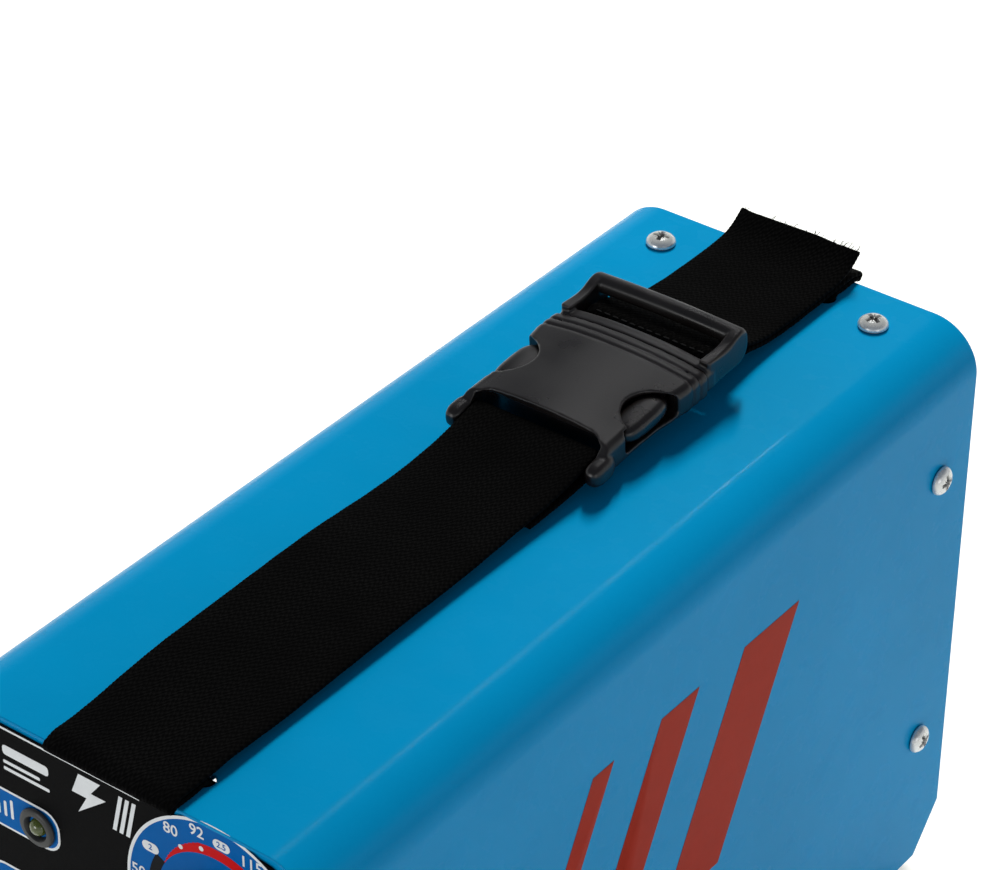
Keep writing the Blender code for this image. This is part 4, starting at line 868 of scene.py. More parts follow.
# ---- geometry node trees
class Growth:
    """A Geometry Nodes tree with named inputs, which grows a plain mesh from a guide object."""

    def __init__(self, name: str, inputs: dict[str, str]) -> None:
        """Makes the tree with its interface.

        Args:
            name: The tree's name.
            inputs: Each input's name and kind of socket, after the guide's geometry.
        """
        self.group = bpy.data.node_groups.new(name, "GeometryNodeTree")
        self.nodes = Nodes(self.group)
        face = self.group.interface
        face.new_socket("Geometry", in_out="INPUT", socket_type="NodeSocketGeometry")
        for label, kind in inputs.items():
            face.new_socket(label, in_out="INPUT", socket_type="NodeSocket" + kind)
        face.new_socket("Geometry", in_out="OUTPUT", socket_type="NodeSocketGeometry")
        self.entry = self.nodes.add("NodeGroupInput")

    def value(self, label: str) -> Plug:
        """One of the tree's inputs, as a socket to link from."""
        return self.entry.outputs[label]

    def close(self, geometry: Plug) -> None:
        """Ends the tree: instances made real, the material set, and the result handed out.

        Args:
            geometry: The socket with what the tree has made.
        """
        real = self.nodes.add("GeometryNodeRealizeInstances", {"Geometry": geometry}).outputs[0]
        finish = {"Geometry": real, "Material": self.value("Material")}
        self.nodes.add("NodeGroupOutput", {0: self.nodes.add("GeometryNodeSetMaterial", finish).outputs[0]})

    def grow(self, guide: Piece, values: dict[str, Any]) -> Piece:
        """Runs the tree on a guide object and keeps the result as its mesh.

        Args:
            guide: The object that the tree reads.
            values: Input names to values.

        Returns:
            The guide, now holding the grown mesh.
        """
        modifier = guide.modifiers.new("grow", "NODES")
        modifier.node_group = self.group
        for item in self.group.interface.items_tree:
            if item.item_type == "SOCKET" and item.in_out == "INPUT" and item.name in values:
                modifier[item.identifier] = values[item.name]
        return settled(guide)


def copies_tree() -> Growth:
    """A tree that sets copies of an object on a guide's points, turned by each point's own angles."""
    tree = Growth("set_out_copies", {
        "Piece": "Object",
        "Size": "Float",
        "Unevenness": "Float",
        "Seed": "Int",
        "Material": "Material",
    })
    nodes = tree.nodes
    source = nodes.add("GeometryNodeObjectInfo", {"Object": tree.value("Piece")})
    turn = nodes.add("GeometryNodeInputNamedAttribute", {"Name": "turn"}, data_type="FLOAT_VECTOR")
    jitter = nodes.add("FunctionNodeRandomValue", {
        2: nodes.math("SUBTRACT", 1.0, tree.value("Unevenness")),
        3: nodes.math("ADD", 1.0, tree.value("Unevenness")),
        "Seed": tree.value("Seed"),
    }, data_type="FLOAT")
    copies = nodes.add("GeometryNodeInstanceOnPoints", {
        "Points": tree.value("Geometry"),
        "Instance": source.outputs["Geometry"],
        "Rotation": turn.outputs[0],
        "Scale": nodes.times(jitter.outputs[1], tree.value("Size")),
    })
    tree.close(copies.outputs[0])
    return tree


def guard_tree() -> Growth:
    """A tree that makes round wires about the guide's one point, evenly spaced out to a radius."""
    tree = Growth("round_wires", {
        "Wires": "Int",
        "Outer Radius": "Float",
        "Wire Radius": "Float",
        "Facets": "Int",
        "Material": "Material",
    })
    nodes = tree.nodes
    round_line = "GeometryNodeCurvePrimitiveCircle"
    pitch = nodes.math("DIVIDE", tree.value("Outer Radius"), tree.value("Wires"))
    line = nodes.add("GeometryNodeMeshLine", {"Count": tree.value("Wires"), "Offset": (0.0, 0.0, 0.0)})
    circle = nodes.add(round_line, {"Resolution": tree.value("Facets"), "Radius": pitch})
    index = nodes.add("GeometryNodeInputIndex").outputs[0]
    rings = nodes.add("GeometryNodeInstanceOnPoints", {
        "Points": line.outputs[0],
        "Instance": circle.outputs[0],
        "Scale": nodes.math("ADD", index, 1.0),
    })
    real = nodes.add("GeometryNodeRealizeInstances", {"Geometry": rings.outputs[0]})
    wire = nodes.add(round_line, {"Resolution": 12, "Radius": tree.value("Wire Radius")})
    made = nodes.add("GeometryNodeCurveToMesh", {"Curve": real.outputs[0], "Profile Curve": wire.outputs[0]})
    tree.close(made.outputs[0])
    return tree


def fold_tree() -> Growth:
    """A tree that folds sheet metal: it rounds a guide line's corners, carries it along and thickens it."""
    tree = Growth("folded_sheet", {
        "Corner Radius": "Float",
        "Corner Steps": "Int",
        "Length": "Float",
        "Thickness": "Float",
        "Material": "Material",
    })
    nodes = tree.nodes
    line = nodes.add("GeometryNodeMeshToCurve", {"Mesh": tree.value("Geometry")})
    bent = nodes.add("GeometryNodeFilletCurve", {
        "Curve": line.outputs[0],
        "Radius": tree.value("Corner Radius"),
        "Count": tree.value("Corner Steps"),
    }, mode="POLY")
    outline = nodes.add("GeometryNodeCurveToMesh", {"Curve": bent.outputs[0]})
    along = nodes.add("ShaderNodeCombineXYZ", {1: tree.value("Length")}).outputs[0]
    skin = nodes.add("GeometryNodeExtrudeMesh", {
        "Mesh": outline.outputs[0],
        "Offset": along,
        "Offset Scale": 1.0,
    }, mode="EDGES")
    thick = nodes.add("GeometryNodeExtrudeMesh", {
        "Mesh": skin.outputs[0],
        "Offset Scale": tree.value("Thickness"),
        "Individual": False,
    }, mode="FACES")
    back = nodes.add("GeometryNodeFlipFaces", {"Mesh": skin.outputs[0]})
    both = nodes.add("GeometryNodeJoinGeometry")
    for part in (thick.outputs[0], back.outputs[0]):
        tree.group.links.new(part, both.inputs[0])
    whole = nodes.add("GeometryNodeMergeByDistance", {"Geometry": both.outputs[0], "Distance": 0.00001})
    tree.close(whole.outputs[0])
    return tree


COPIES = copies_tree()


def set_out(
    name: str,
    shape: Shape,
    spots: Sequence[Vector],
    turns: Sequence[Sequence[float]],
    finish: Finish,
    unevenness: float = 0.0,
    seed: int = 1,
) -> Piece:
    """Sets copies of a small shape on points.

    Args:
        name: The piece's name.
        shape: The shape, drawn about the origin.
        spots: Where the copies go.
        turns: Each copy's angles, in radians about X, Y and Z.
        finish: The copies' finish.
        unevenness: How far their sizes differ, as a share.
        seed: The seed for that.

    Returns:
        One plain mesh with every copy.
    """
    model = as_object(name + "_model", shape, 30.0)
    guide = guide_line(name, spots)
    turn = guide.data.attributes.new("turn", "FLOAT_VECTOR", "POINT")
    for item, angles in zip(turn.data, turns):
        item.vector = angles
    COPIES.grow(guide, {
        "Piece": model,
        "Size": 1.0,
        "Unevenness": unevenness,
        "Seed": seed,
        "Material": finish.material(),
    })
    bpy.data.objects.remove(model)
    return smoothed(guide, 30.0)


# ---- case
def boxed(node: str) -> tuple[Vector, Vector, Vector]:
    """The lower corner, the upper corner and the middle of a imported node's box."""
    low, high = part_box(node)
    return low, high, (low + high) / 2


@dataclass(frozen=True)
class Case:
    """Where the case's faces are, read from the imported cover."""

    front: float
    back: float
    half: float
    foot: float
    top: float

    @classmethod
    def read(cls) -> "Case":
        """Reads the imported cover's box.

        Returns:
            The case.
        """
        low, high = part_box("cover")
        return cls(low.y, high.y, high.x, low.z, high.z)

    @property
    def length(self) -> float:
        """The cover's length."""
        return self.back - self.front

    def spot(self, x: float, v: float, drop: float) -> Vector:
        """A point from x, the distance behind the front edge and the distance below the top."""
        return Vector((x, self.front + v, self.top - drop))


CASE = Case.read()


@dataclass
class Shell:
    """The folded cover, the panels inside its ends, the tray, the feet and what is printed on the sides."""

    radius: float = 0.015
    sheet: float = 0.0012
    chamfer_rise: float = 0.0145
    chamfer_run: float = 0.012
    slot_from_end: float = 0.012
    slot_size: Pair = (0.0408, 0.0056)
    vents: int = 7
    vent_size: Pair = (0.084, 0.0042)
    vent_pitch: float = 0.0095
    vent_first_drop: float = 0.099
    vent_middle: float = 0.068
    edge: float = 0.00032

    def cutters(self) -> list[Shape]:
        """The cover's chamfers, strap slots and side vents, as shapes to cut away.

        Returns:
            The shapes.
        """
        past = 0.004
        slant = self.chamfer_run / self.chamfer_rise
        shapes = []
        for end, inward in ((CASE.front, 1), (CASE.back, -1)):
            corner = [
                (end - inward * past, CASE.foot - past),
                (end + inward * (self.chamfer_run + past * slant), CASE.foot - past),
                (end - inward * past, CASE.foot + self.chamfer_rise + past / slant),
            ]
            shapes.append(prism(corner, "X", -CASE.half - past, CASE.half + past))
            slot = obround((0, end + inward * self.slot_from_end), *self.slot_size)
            shapes.append(prism(slot, "Z", CASE.top - self.sheet - past, CASE.top + past))
        for outline in self.vent_outlines(0.0):
            shapes.append(prism(outline, "X", -CASE.half - past, CASE.half + past))
        return shapes

    def vent_outlines(self, grow: float) -> list[list[Pair]]:
        """The side vents' outlines, (y, z), each larger all round by a distance."""
        length, height = self.vent_size
        along, first = CASE.front + self.vent_middle, CASE.top - self.vent_first_drop
        middles = [(along, first - k * self.vent_pitch) for k in range(self.vents)]
        return [obround(middle, length + 2 * grow, height + 2 * grow) for middle in middles]

    def cover(self) -> None:
        """Folds the cover from one line round its section, and cuts it."""
        half = CASE.half
        corners = [(-half, CASE.foot), (-half, CASE.top), (half, CASE.top), (half, CASE.foot)]
        tree = fold_tree()
        for thickness in (self.sheet, -self.sheet):
            line = [(x, CASE.front, z) for x, z in corners]
            guide = guide_line("cover_painted", line, [(0, 1), (1, 2), (2, 3)])
            tree.grow(guide, {
                "Corner Radius": self.radius,
                "Corner Steps": 28,
                "Length": CASE.length,
                "Thickness": thickness,
                "Material": PAINT.material(),
            })
            if max(abs(v.co.x) for v in guide.data.vertices) < half + self.sheet / 2:
                break
            bpy.data.objects.remove(guide)
        shape = bmesh.new()
        shape.from_mesh(guide.data)
        bmesh.ops.recalc_face_normals(shape, faces=shape.faces)
        shape.to_mesh(guide.data)
        shape.free()
        carved(guide, self.cutters())
        softened(guide, self.edge, 2, 50.0)
        dressed(guide, PAINT, ["cover"])

    def vent_rims(self) -> None:
        """A pressed rim round each side vent."""
        shapes = []
        sunk, rise = 0.0002, 0.00045
        for side in BOTH_SIDES:
            face = side * (CASE.half - sunk)
            for inner, outer in zip(self.vent_outlines(0.00005), self.vent_outlines(0.0009)):
                crest = [((a + c) / 2, (b + d) / 2) for (a, b), (c, d) in zip(inner, outer)]
                lines = ((0.0, outer), (rise, crest), (0.0, inner))
                rings = [[Vector((face + side * out, y, z)) for y, z in line] for out, line in lines]
                shapes.append(loft(rings, True))
        made = as_object("vent_rims", joined(shapes), 60.0)
        dressed(made, PAINT)

    def panels(self) -> None:
        """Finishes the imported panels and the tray, whose shapes are already right."""
        for node, finish in (("front_panel", PAINT), ("rear_panel", PAINT), ("base_tray", STEEL)):
            repaint(node, finish)

    def feet(self) -> None:
        """Four rubber feet with a moulded step and a recess."""
        for node in ("foot_front_left", "foot_front_right", "foot_rear_left", "foot_rear_right"):
            low, high, middle = boxed(node)
            middle.z = 0.0
            r = (high.x - low.x) / 2
            top = CASE.foot - 0.0003
            profile = [
                (0, 0.0008), (r * 0.3, 0.0008), (r * 0.36, 0.0), (r - 0.0014, 0.0), (r - 0.0004, 0.0005),
                (r, 0.0014), (r, 0.005), (r - 0.0006, 0.0053), (r - 0.0006, top), (0.0024, top),
                (0.0024, high.z - 0.003), (0.0035, high.z - 0.0026), (0.0018, high.z), (0, high.z),
            ]
            made = as_object(node + "_moulded", turned(profile, middle, UPWARDS, 40))
            dressed(made, RUBBER, [node])

    def side_marks(self) -> None:
        """Slanted bars of decreasing width printed on both sides, clear of the vents."""
        top, bottom, lean = 0.041, 0.11, 0.034
        shapes = []
        for start, width in ((0.176, 0.026), (0.138, 0.017), (0.108, 0.009)):
            end = start + width
            bar = ((start, top), (end, top), (end - lean, bottom), (start - lean, bottom))
            outline = [(CASE.front + v, CASE.top - drop) for v, drop in bar]
            for side in BOTH_SIDES:
                xs = sorted((side * (CASE.half + 0.00003), side * (CASE.half + 0.0001)))
                shapes.append(prism(outline, "X", *xs))
        bars = as_object("side_bars", joined(shapes))
        past = CASE.half + 0.004
        carved(bars, [prism(outline, "X", -past, past) for outline in self.vent_outlines(0.0011)])
        dressed(bars, RED_PRINT)

    def build(self) -> None:
        """Builds and finishes the whole shell."""
        self.cover()
        self.vent_rims()
        self.panels()
        self.feet()
        self.side_marks()


# ---- screws
@dataclass
class CaseScrews:
    """Pan-head screws with a cross recess, ten round the case."""

    head: float = 0.00435
    rise: float = 0.0026
    shank: float = 0.0019

    def model(self) -> Shape:
        """One screw about the origin, its head towards +Z.

        Returns:
            The screw.
        """
        h, r = self.rise, self.head
        base = 0.0003
        profile = [
            (0, -0.0088), (self.shank, -0.0084), (self.shank, base), (r * 0.965, base),
            (r, base + h * 0.1), (r, base + h * 0.22), (r * 0.965, base + h * 0.42),
            (r * 0.88, base + h * 0.62), (r * 0.74, base + h * 0.8), (r * 0.56, base + h * 0.92),
            (r * 0.34, base + h * 0.985), (0, base + h),
        ]
        body = as_object("screw_body", turned(profile, (0, 0, 0), UPWARDS, 40), 40.0)
        wide, deep = r * 0.64, base + h * 0.12
        above = base + h * 1.1
        slots = self.cross((deep, wide * 0.5, 0.00034), (above, wide, 0.0007))
        for angle in (math.pi / 4, 3 * math.pi / 4):
            tick = box_shape((-wide * 0.7, -0.00016, base + h * 0.74), (wide * 0.7, 0.00016, above))
            slots.append(moved(tick, Matrix.Rotation(angle, 4, "Z")))
        pit = [(0, deep - 0.0003), (0.0005, deep), (0.0013, above), (0, above)]
        carved(body, [*slots, turned(pit, (0, 0, 0), UPWARDS, 12)])
        return shape_of(body)

    def cross(self, *levels: tuple[float, float, float]) -> list[Shape]:
        """The two arms of a cross.

        Args:
            *levels: The arms' height above the seat, half length and half width, from the lowest up.

        Returns:
            The arms.
        """
        arms = []
        for angle in (0.0, math.pi / 2):
            rings = [
                [Vector((x, y, z)) for x, y in ((-w, -t), (w, -t), (w, t), (-w, t))]
                for z, w, t in levels
            ]
            arms.append(moved(loft(rings), Matrix.Rotation(angle, 4, "Z")))
        return arms

    def shadow(self) -> Shape:
        """A dark cross of painted shade in the recess of a screw about the origin.

        Returns:
            The cross.
        """
        low, high = 0.0003 + self.rise * 0.16, 0.0003 + self.rise * 0.66
        arms = self.cross((low, self.head * 0.31, 0.00028), (high, self.head * 0.46, 0.00044))
        return shape_of(carved(as_object("recess_cross", arms[0]), arms[1:], "UNION"))

    def build(self) -> None:
        """Sets a screw on every packed screw's place, each turned its own way."""
        draw = random.Random(7)
        spots, turns, nodes = [], [], []
        for node in sorted(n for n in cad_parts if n.startswith("screw_")):
            middle = boxed(node)[2]
            spin = draw.uniform(0, math.tau)
            if node.startswith("screw_top"):
                spots.append(Vector((middle.x, middle.y, CASE.top)))
                turns.append((0.0, 0.0, spin))
            else:
                side = math.copysign(1, middle.x)
                spots.append(Vector((side * CASE.half, middle.y, middle.z)))
                out = Matrix.Rotation(side * math.pi / 2, 3, "Y") @ Matrix.Rotation(spin, 3, "Z")
                turns.append(tuple(out.to_euler()))
            nodes.append(node)
        dressed(set_out("case_screws", self.model(), spots, turns, ZINC), ZINC, nodes)
        # Dark crosses in the recesses, as painted shade.
        dressed(set_out("case_screw_recesses", self.shadow(), spots, turns, BLACKED_AND_SHADE), BLACKED_AND_SHADE)


# ---- front label
class Ink(Enum):
    """The label's inks."""

    WHITE = WHITE_INK
    BLUE = BLUE_INK
    RED = RED_INK
    GREY = GREY_INK


@dataclass
class Label:
    """The printed film on the front panel: dial scale, lamp fields, lines and generic marks."""

    dial_x: float = 0.031
    dial_drop: float = 0.0285
    field_radius: float = 0.0288
    ring: Pair = (0.019, 0.022)
    number_radius: float = 0.0252
    lamp_drop: float = 0.0292
    lamp_pitch: float = 0.0245
    socket_x: float = 0.03
    layer: float = 0.00005
    gap: float = 0.00002
    field_x: float = -0.0322
    bars_x: float = -0.0398
    words_x: float = -0.037

    def __post_init__(self) -> None:
        """Finds the film's front face."""
        self.film_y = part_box("front_label")[0].y
        self.inks: dict[Ink, list[Shape]] = {ink: [] for ink in Ink}

    def stamp(self, ink: Ink, outline: Sequence[Pair], level: int) -> None:
        """Prints a filled outline.

        Args:
            ink: The ink.
            outline: Its (x, drop) points.
            level: 1 for the lowest layer, and more for what lies over it.
        """
        face = self.film_y - self.gap - (level - 1) * self.layer
        points = [(x, CASE.top - drop) for x, drop in outline]
        self.inks[ink].append(prism(points, "Y", face - self.layer * 0.8, face))

    def band(self, ink: Ink, radii: Pair, start: float, end: float, level: int) -> None:
        """Prints a band round the dial, its angles in degrees clockwise from the top."""
        steps = max(4, int(abs(end - start) / 4))
        outer = arc((0, 0), radii[1], 90 - start, 90 - end, steps)
        inner = arc((0, 0), radii[0], 90 - end, 90 - start, steps)
        self.stamp(ink, [(self.dial_x + a, self.dial_drop - b) for a, b in outer + inner], level)

    def figure(self, ink: Ink, text: str, x: float, drop: float, size: float, level: int) -> None:
        """Prints a number, centred on a spot.

        Args:
            ink: The ink.
            text: The number.
            x: The spot's x.
            drop: The spot's distance below the cover's top.
            size: The figures' size.
            level: The layer.
        """
        curve = bpy.data.curves.new("number", "FONT")
        curve.body = text
        curve.size = size
        curve.align_x = "CENTER"
        curve.align_y = "CENTER"
        curve.extrude = self.layer * 0.4
        curve.offset = size * 0.012
        curve.resolution_u = 3
        writing = placed("number", curve)
        bpy.context.view_layer.update()
        mesh = bpy.data.meshes.new_from_object(writing.evaluated_get(bpy.context.evaluated_depsgraph_get()))
        bpy.data.objects.remove(writing)
        shape = bmesh.new()
        shape.from_mesh(mesh)
        bpy.data.meshes.remove(mesh)
        bmesh.ops.remove_doubles(shape, verts=shape.verts, dist=0.000001)
        face = self.film_y - self.gap - (level - 0.5) * self.layer
        stand = Matrix.Translation((x, face, CASE.top - drop)) @ Matrix.Rotation(math.pi / 2, 4, "X")
        self.inks[ink].append(moved(shape, stand))

    def around(self, radius: float, degrees: float) -> Pair:
        """A spot round the dial, (x, drop), its angle clockwise from the top."""
        angle = math.radians(degrees)
        return self.dial_x + radius * math.sin(angle), self.dial_drop - radius * math.cos(angle)

    def dial(self) -> None:
        """The current dial: field, coloured ring, dots, numbers and electrode ovals."""
        rim = self.field_radius
        inner, outer = self.ring
        for start in (-180, 0):
            self.band(Ink.BLUE, (0.0042, rim - 0.0004), start, start + 180, 1)
            self.band(Ink.WHITE, (rim - 0.0009, rim), start, start + 180, 2)
        self.band(Ink.GREY, self.ring, -140, -60, 2)
        self.band(Ink.RED, self.ring, -12, 140, 2)
        for share in range(12):
            start = -60 + share * 4
            growing = (inner, inner + (outer - inner) * (share + 1) / 12)
            self.band(Ink.RED, growing, start, start + 4, 2)
        scale = ((20, -135), (50, -84), (80, -34), (92, -13.5), (115, 25), (140, 67), (160, 101), (180, 135))
        for number, degrees in scale:
            self.figure(Ink.WHITE, str(number), *self.around(self.number_radius, degrees), 0.0046, 3)
            spot = self.around((inner + outer) / 2, degrees * 0.97)
            self.stamp(Ink.WHITE, arc(spot, 0.0007, 0, 360, 16)[:-1], 3)
        for degrees, rod_size in ((-60, "2"), (4, "2.5"), (46, "3.2"), (84, "4")):
            spot = self.around(self.number_radius - 0.0012, degrees)
            self.stamp(Ink.WHITE, obround(spot, 0.0052, 0.003), 3)
            self.figure(Ink.BLUE, rod_size, *spot, 0.0024, 4)

    def lamp_fields(self) -> None:
        """A blue field with a white outline and a generic mark beside each lamp."""
        for k in range(2):
            drop = self.lamp_drop + k * self.lamp_pitch
            centre = (self.field_x, drop)
            self.stamp(Ink.WHITE, rounded(centre, (0.025, 0.0125), 0.005), 1)
            self.stamp(Ink.BLUE, rounded(centre, (0.0236, 0.0111), 0.0044), 2)
            for j in range(3):
                bar = (self.bars_x + j * 0.0022, drop + (0.0006 if k else -0.0006) * (j - 1))
                tall = 0.0036 + 0.0012 * j * (1 - k)
                self.stamp(Ink.WHITE, rounded(bar, (0.0009, tall), 0.0004, 3), 3)

    def marks(self) -> None:
        """The upper line, a spark sign and bars where a maker would print words."""
        self.stamp(Ink.WHITE, rounded((-0.0155, 0.0036), (0.046, 0.0006), 0.00029, 2), 1)
        bars = ((0.015, 0.003, 0.0102), (0.012, 0.001, 0.0139), (0.015, 0.001, 0.016))
        for width, tall, drop in bars:
            bar = rounded((self.words_x + width / 2, drop), (width, tall), tall * 0.3, 2)
            self.stamp(Ink.WHITE, bar, 1)
        bolt = [
            (-0.012, 0.0055), (-0.005, 0.0055), (-0.0083, 0.0098), (-0.0035, 0.0098),
            (-0.0128, 0.0175), (-0.0098, 0.0119), (-0.0145, 0.0119),
        ]
        self.stamp(Ink.WHITE, bolt, 1)
        for j in range(3):
            left = -0.001 + j * 0.0021
            slant = ((0.0018, 0.0058), (0.003, 0.0058), (0.0004, 0.0172), (-0.0008, 0.0172))
            self.stamp(Ink.WHITE, [(left + x, drop) for x, drop in slant], 1)

    def sockets(self) -> None:
        """Ringed fields with a plus and a minus sign over the output sockets, and the lower frame line."""
        low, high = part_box("positive_socket_body")
        middle = CASE.top - (low.z + high.z) / 2
        for side in BOTH_SIDES:
            x = side * self.socket_x
            sign = (x, middle - 0.0252)
            self.stamp(Ink.WHITE, arc(sign, 0.0046, 0, 360, 40)[:-1], 1)
            self.stamp(Ink.BLUE, arc(sign, 0.004, 0, 360, 40)[:-1], 2)
            self.stamp(Ink.WHITE, rounded(sign, (0.0046, 0.001), 0.0003, 2), 3)
            if side > 0:
                for off in (-0.0014, 0.0014):
                    bar = rounded((sign[0], sign[1] + off), (0.001, 0.0018), 0.0003, 2)
                    self.stamp(Ink.WHITE, bar, 3)
        for drop in (0.082, 0.083):
            self.stamp(Ink.GREY, rounded((0.0, drop), (0.098, 0.0004), 0.00019, 2), 1)

    def build(self) -> None:
        """Prints everything and dresses one piece for each ink."""
        repaint("front_label", FILM)
        self.dial()
        self.lamp_fields()
        self.marks()
        self.sockets()
        for ink, shapes in self.inks.items():
            if shapes:
                made = as_object("label_" + ink.name.lower(), joined(shapes))
                dressed(made, ink.value)


# ---- front fittings
@dataclass
class Sockets:
    """The two output sockets: ribbed moulded bodies with slotted brass inserts."""

    def body_profile(self, reach: float) -> list[Pair]:
        """The moulded body's profile.

        Args:
            reach: How far it stands out.

        Returns:
            (radius, distance) points of a closed ring.
        """
        return [
            (0.01045, reach), (0.01, reach - 0.0005), (0.01, 0.001), (0.0054, 0.001),
            (0.0054, -0.0098), (0.0136, -0.0098), (0.0136, 0.0004), (0.017, 0.0004), (0.0174, 0.0008),
            (0.0174, 0.003), (0.017, 0.0036), (0.0158, 0.004), (0.0144, 0.0042), (0.0141, 0.0048),
            (0.0141, reach - 0.003), (0.0141, reach - 0.0012), (0.0137, reach - 0.0003), (0.0132, reach),
        ]

    def build(self) -> None:
        """Builds both sockets."""
        for name in ("negative", "positive"):
            low, _, centre = boxed(name + "_socket_body")
            front, reach = low.y, 0.013
            centre.y = front + reach

            def ribbed(angle: float, index: int) -> float:
                """The ribs, round the grip alone."""
                return -0.00035 * (0.5 - 0.5 * math.cos(24 * angle)) if index in (12, 13, 14) else 0.0

            body = turned(self.body_profile(reach), centre, FORWARDS, 144, True, ribbed)
            made = as_object(name + "_socket_moulding", body)
            dressed(made, PLASTIC, [name + "_socket_body"])
            profile = [
                (0.005, reach - 0.0013), (0.0054, reach - 0.001), (0.0068, reach - 0.001),
                (0.0072, reach - 0.0016), (0.0072, 0.0013), (0.005, 0.0013), (0.005, -0.0216),
                (0.0046, -0.022), (0, -0.022), (0, -0.003), (0.0048, -0.003), (0.0048, reach - 0.0018),
            ]
            insert = as_object(name + "_socket_brass", turned(profile, centre, FORWARDS, 72, True))
            notch = box_shape(
                (centre.x - 0.001, front - 0.001, centre.z + 0.004),
                (centre.x + 0.001, front + 0.0075, centre.z + 0.008),
            )
            carved(insert, [notch])
            dressed(softened(insert, 0.00012, 1), BRASS, [name + "_socket_insert"])


@dataclass
class Knob:
    """The fluted current knob with a white pointer line, turning with its shaft."""

    flutes: int = 20
    depth: float = 0.00045

    def build(self) -> None:
        """Builds the knob and finishes its shaft and the potentiometer."""
        low, high, middle = boxed("current_knob")
        r = (high.x - low.x) / 2
        middle.z = low.z + r
        front, back = low.y, high.y
        reach = back - front

        def fluted(angle: float, index: int) -> float:
            """The flutes, cut into the grip alone."""
            return -self.depth * (0.5 - 0.5 * math.cos(self.flutes * angle)) ** 2 if 5 <= index <= 9 else 0.0

        profile = [
            (0.0034, 0.0), (r - 0.0006, 0.0), (r, 0.0005), (r, 0.0018), (r - 0.0004, 0.0024),
            (r - 0.0013, 0.0032), (r - 0.0016, 0.0044), (r - 0.0021, reach - 0.003),
            (r - 0.0024, reach - 0.0015), (r - 0.003, reach - 0.0005), (r - 0.0042, reach),
            (r - 0.0056, reach - 0.0001), (r - 0.006, reach - 0.0008), (0, reach - 0.001),
            (0, 0.0098), (0.0034, 0.0098),
        ]
        centre = Vector((middle.x, back, middle.z))
        shape = turned(profile, centre, FORWARDS, 160, True, fluted)
        dressed(as_object("knob_fluted", shape, 38.0), KNOB, ["current_knob"], "knob")
        top = box_shape(
            (middle.x - 0.0007, front - 0.00012, middle.z + 0.003),
            (middle.x + 0.0007, front + 0.0012, middle.z + r - 0.003),
        )
        line = box_shape(
            (middle.x - 0.0007, front + 0.0006, middle.z + r - 0.0034),
            (middle.x + 0.0007, back - 0.004, middle.z + r - 0.0012),
        )
        both = carved(as_object("knob_pointer", top), [line], "UNION")
        dressed(softened(both, 0.00015, 2), WHITE_INK, body="knob")
        repaint("knob_shaft", STEEL)
        repaint("potentiometer", STEEL)


@dataclass
class Lamps:
    """Two lamps: a domed lens with a ringed inside, in a stepped bezel."""

    def build(self) -> None:
        """Builds both lamps."""
        bezel = [
            (0.0037, 0.0016), (0.0034, 0.0013), (0.0029, 0.0), (0.0028, -0.0004), (0.0028, -0.0078),
            (0.0036, -0.0078), (0.0036, 0.0004), (0.0052, 0.0004), (0.0055, 0.0006), (0.0055, 0.001),
            (0.0052, 0.0014), (0.0046, 0.0016),
        ]
        wide, tall = 0.0025, 0.0024
        slopes = [k * math.pi / 20 for k in range(10)]
        dome = [(wide * math.cos(a), tall * math.sin(a)) for a in slopes]
        lens = [(0, -0.0088), (wide, -0.0088), (wide, -0.0002), *dome, (0, tall)]
        for name, finish, slot in (
            ("power", LENS_GREEN, "lamp_green"),
            ("overheat", LENS_AMBER, "lamp_amber"),
        ):
            low, _, centre = boxed(name + "_lamp_bezel")
            centre.y = low.y + 0.0016
            made = as_object(name + "_lamp_ring", turned(bezel, centre, FORWARDS, 56, True))
            dressed(made, PLASTIC, [name + "_lamp_bezel"])
            made = as_object(name + "_lamp_dome", turned(lens, centre, FORWARDS, 40))
            dressed(made, finish, [name + "_lamp_lens"])


# ---- rear fittings
REAR_INSET = 0.0008


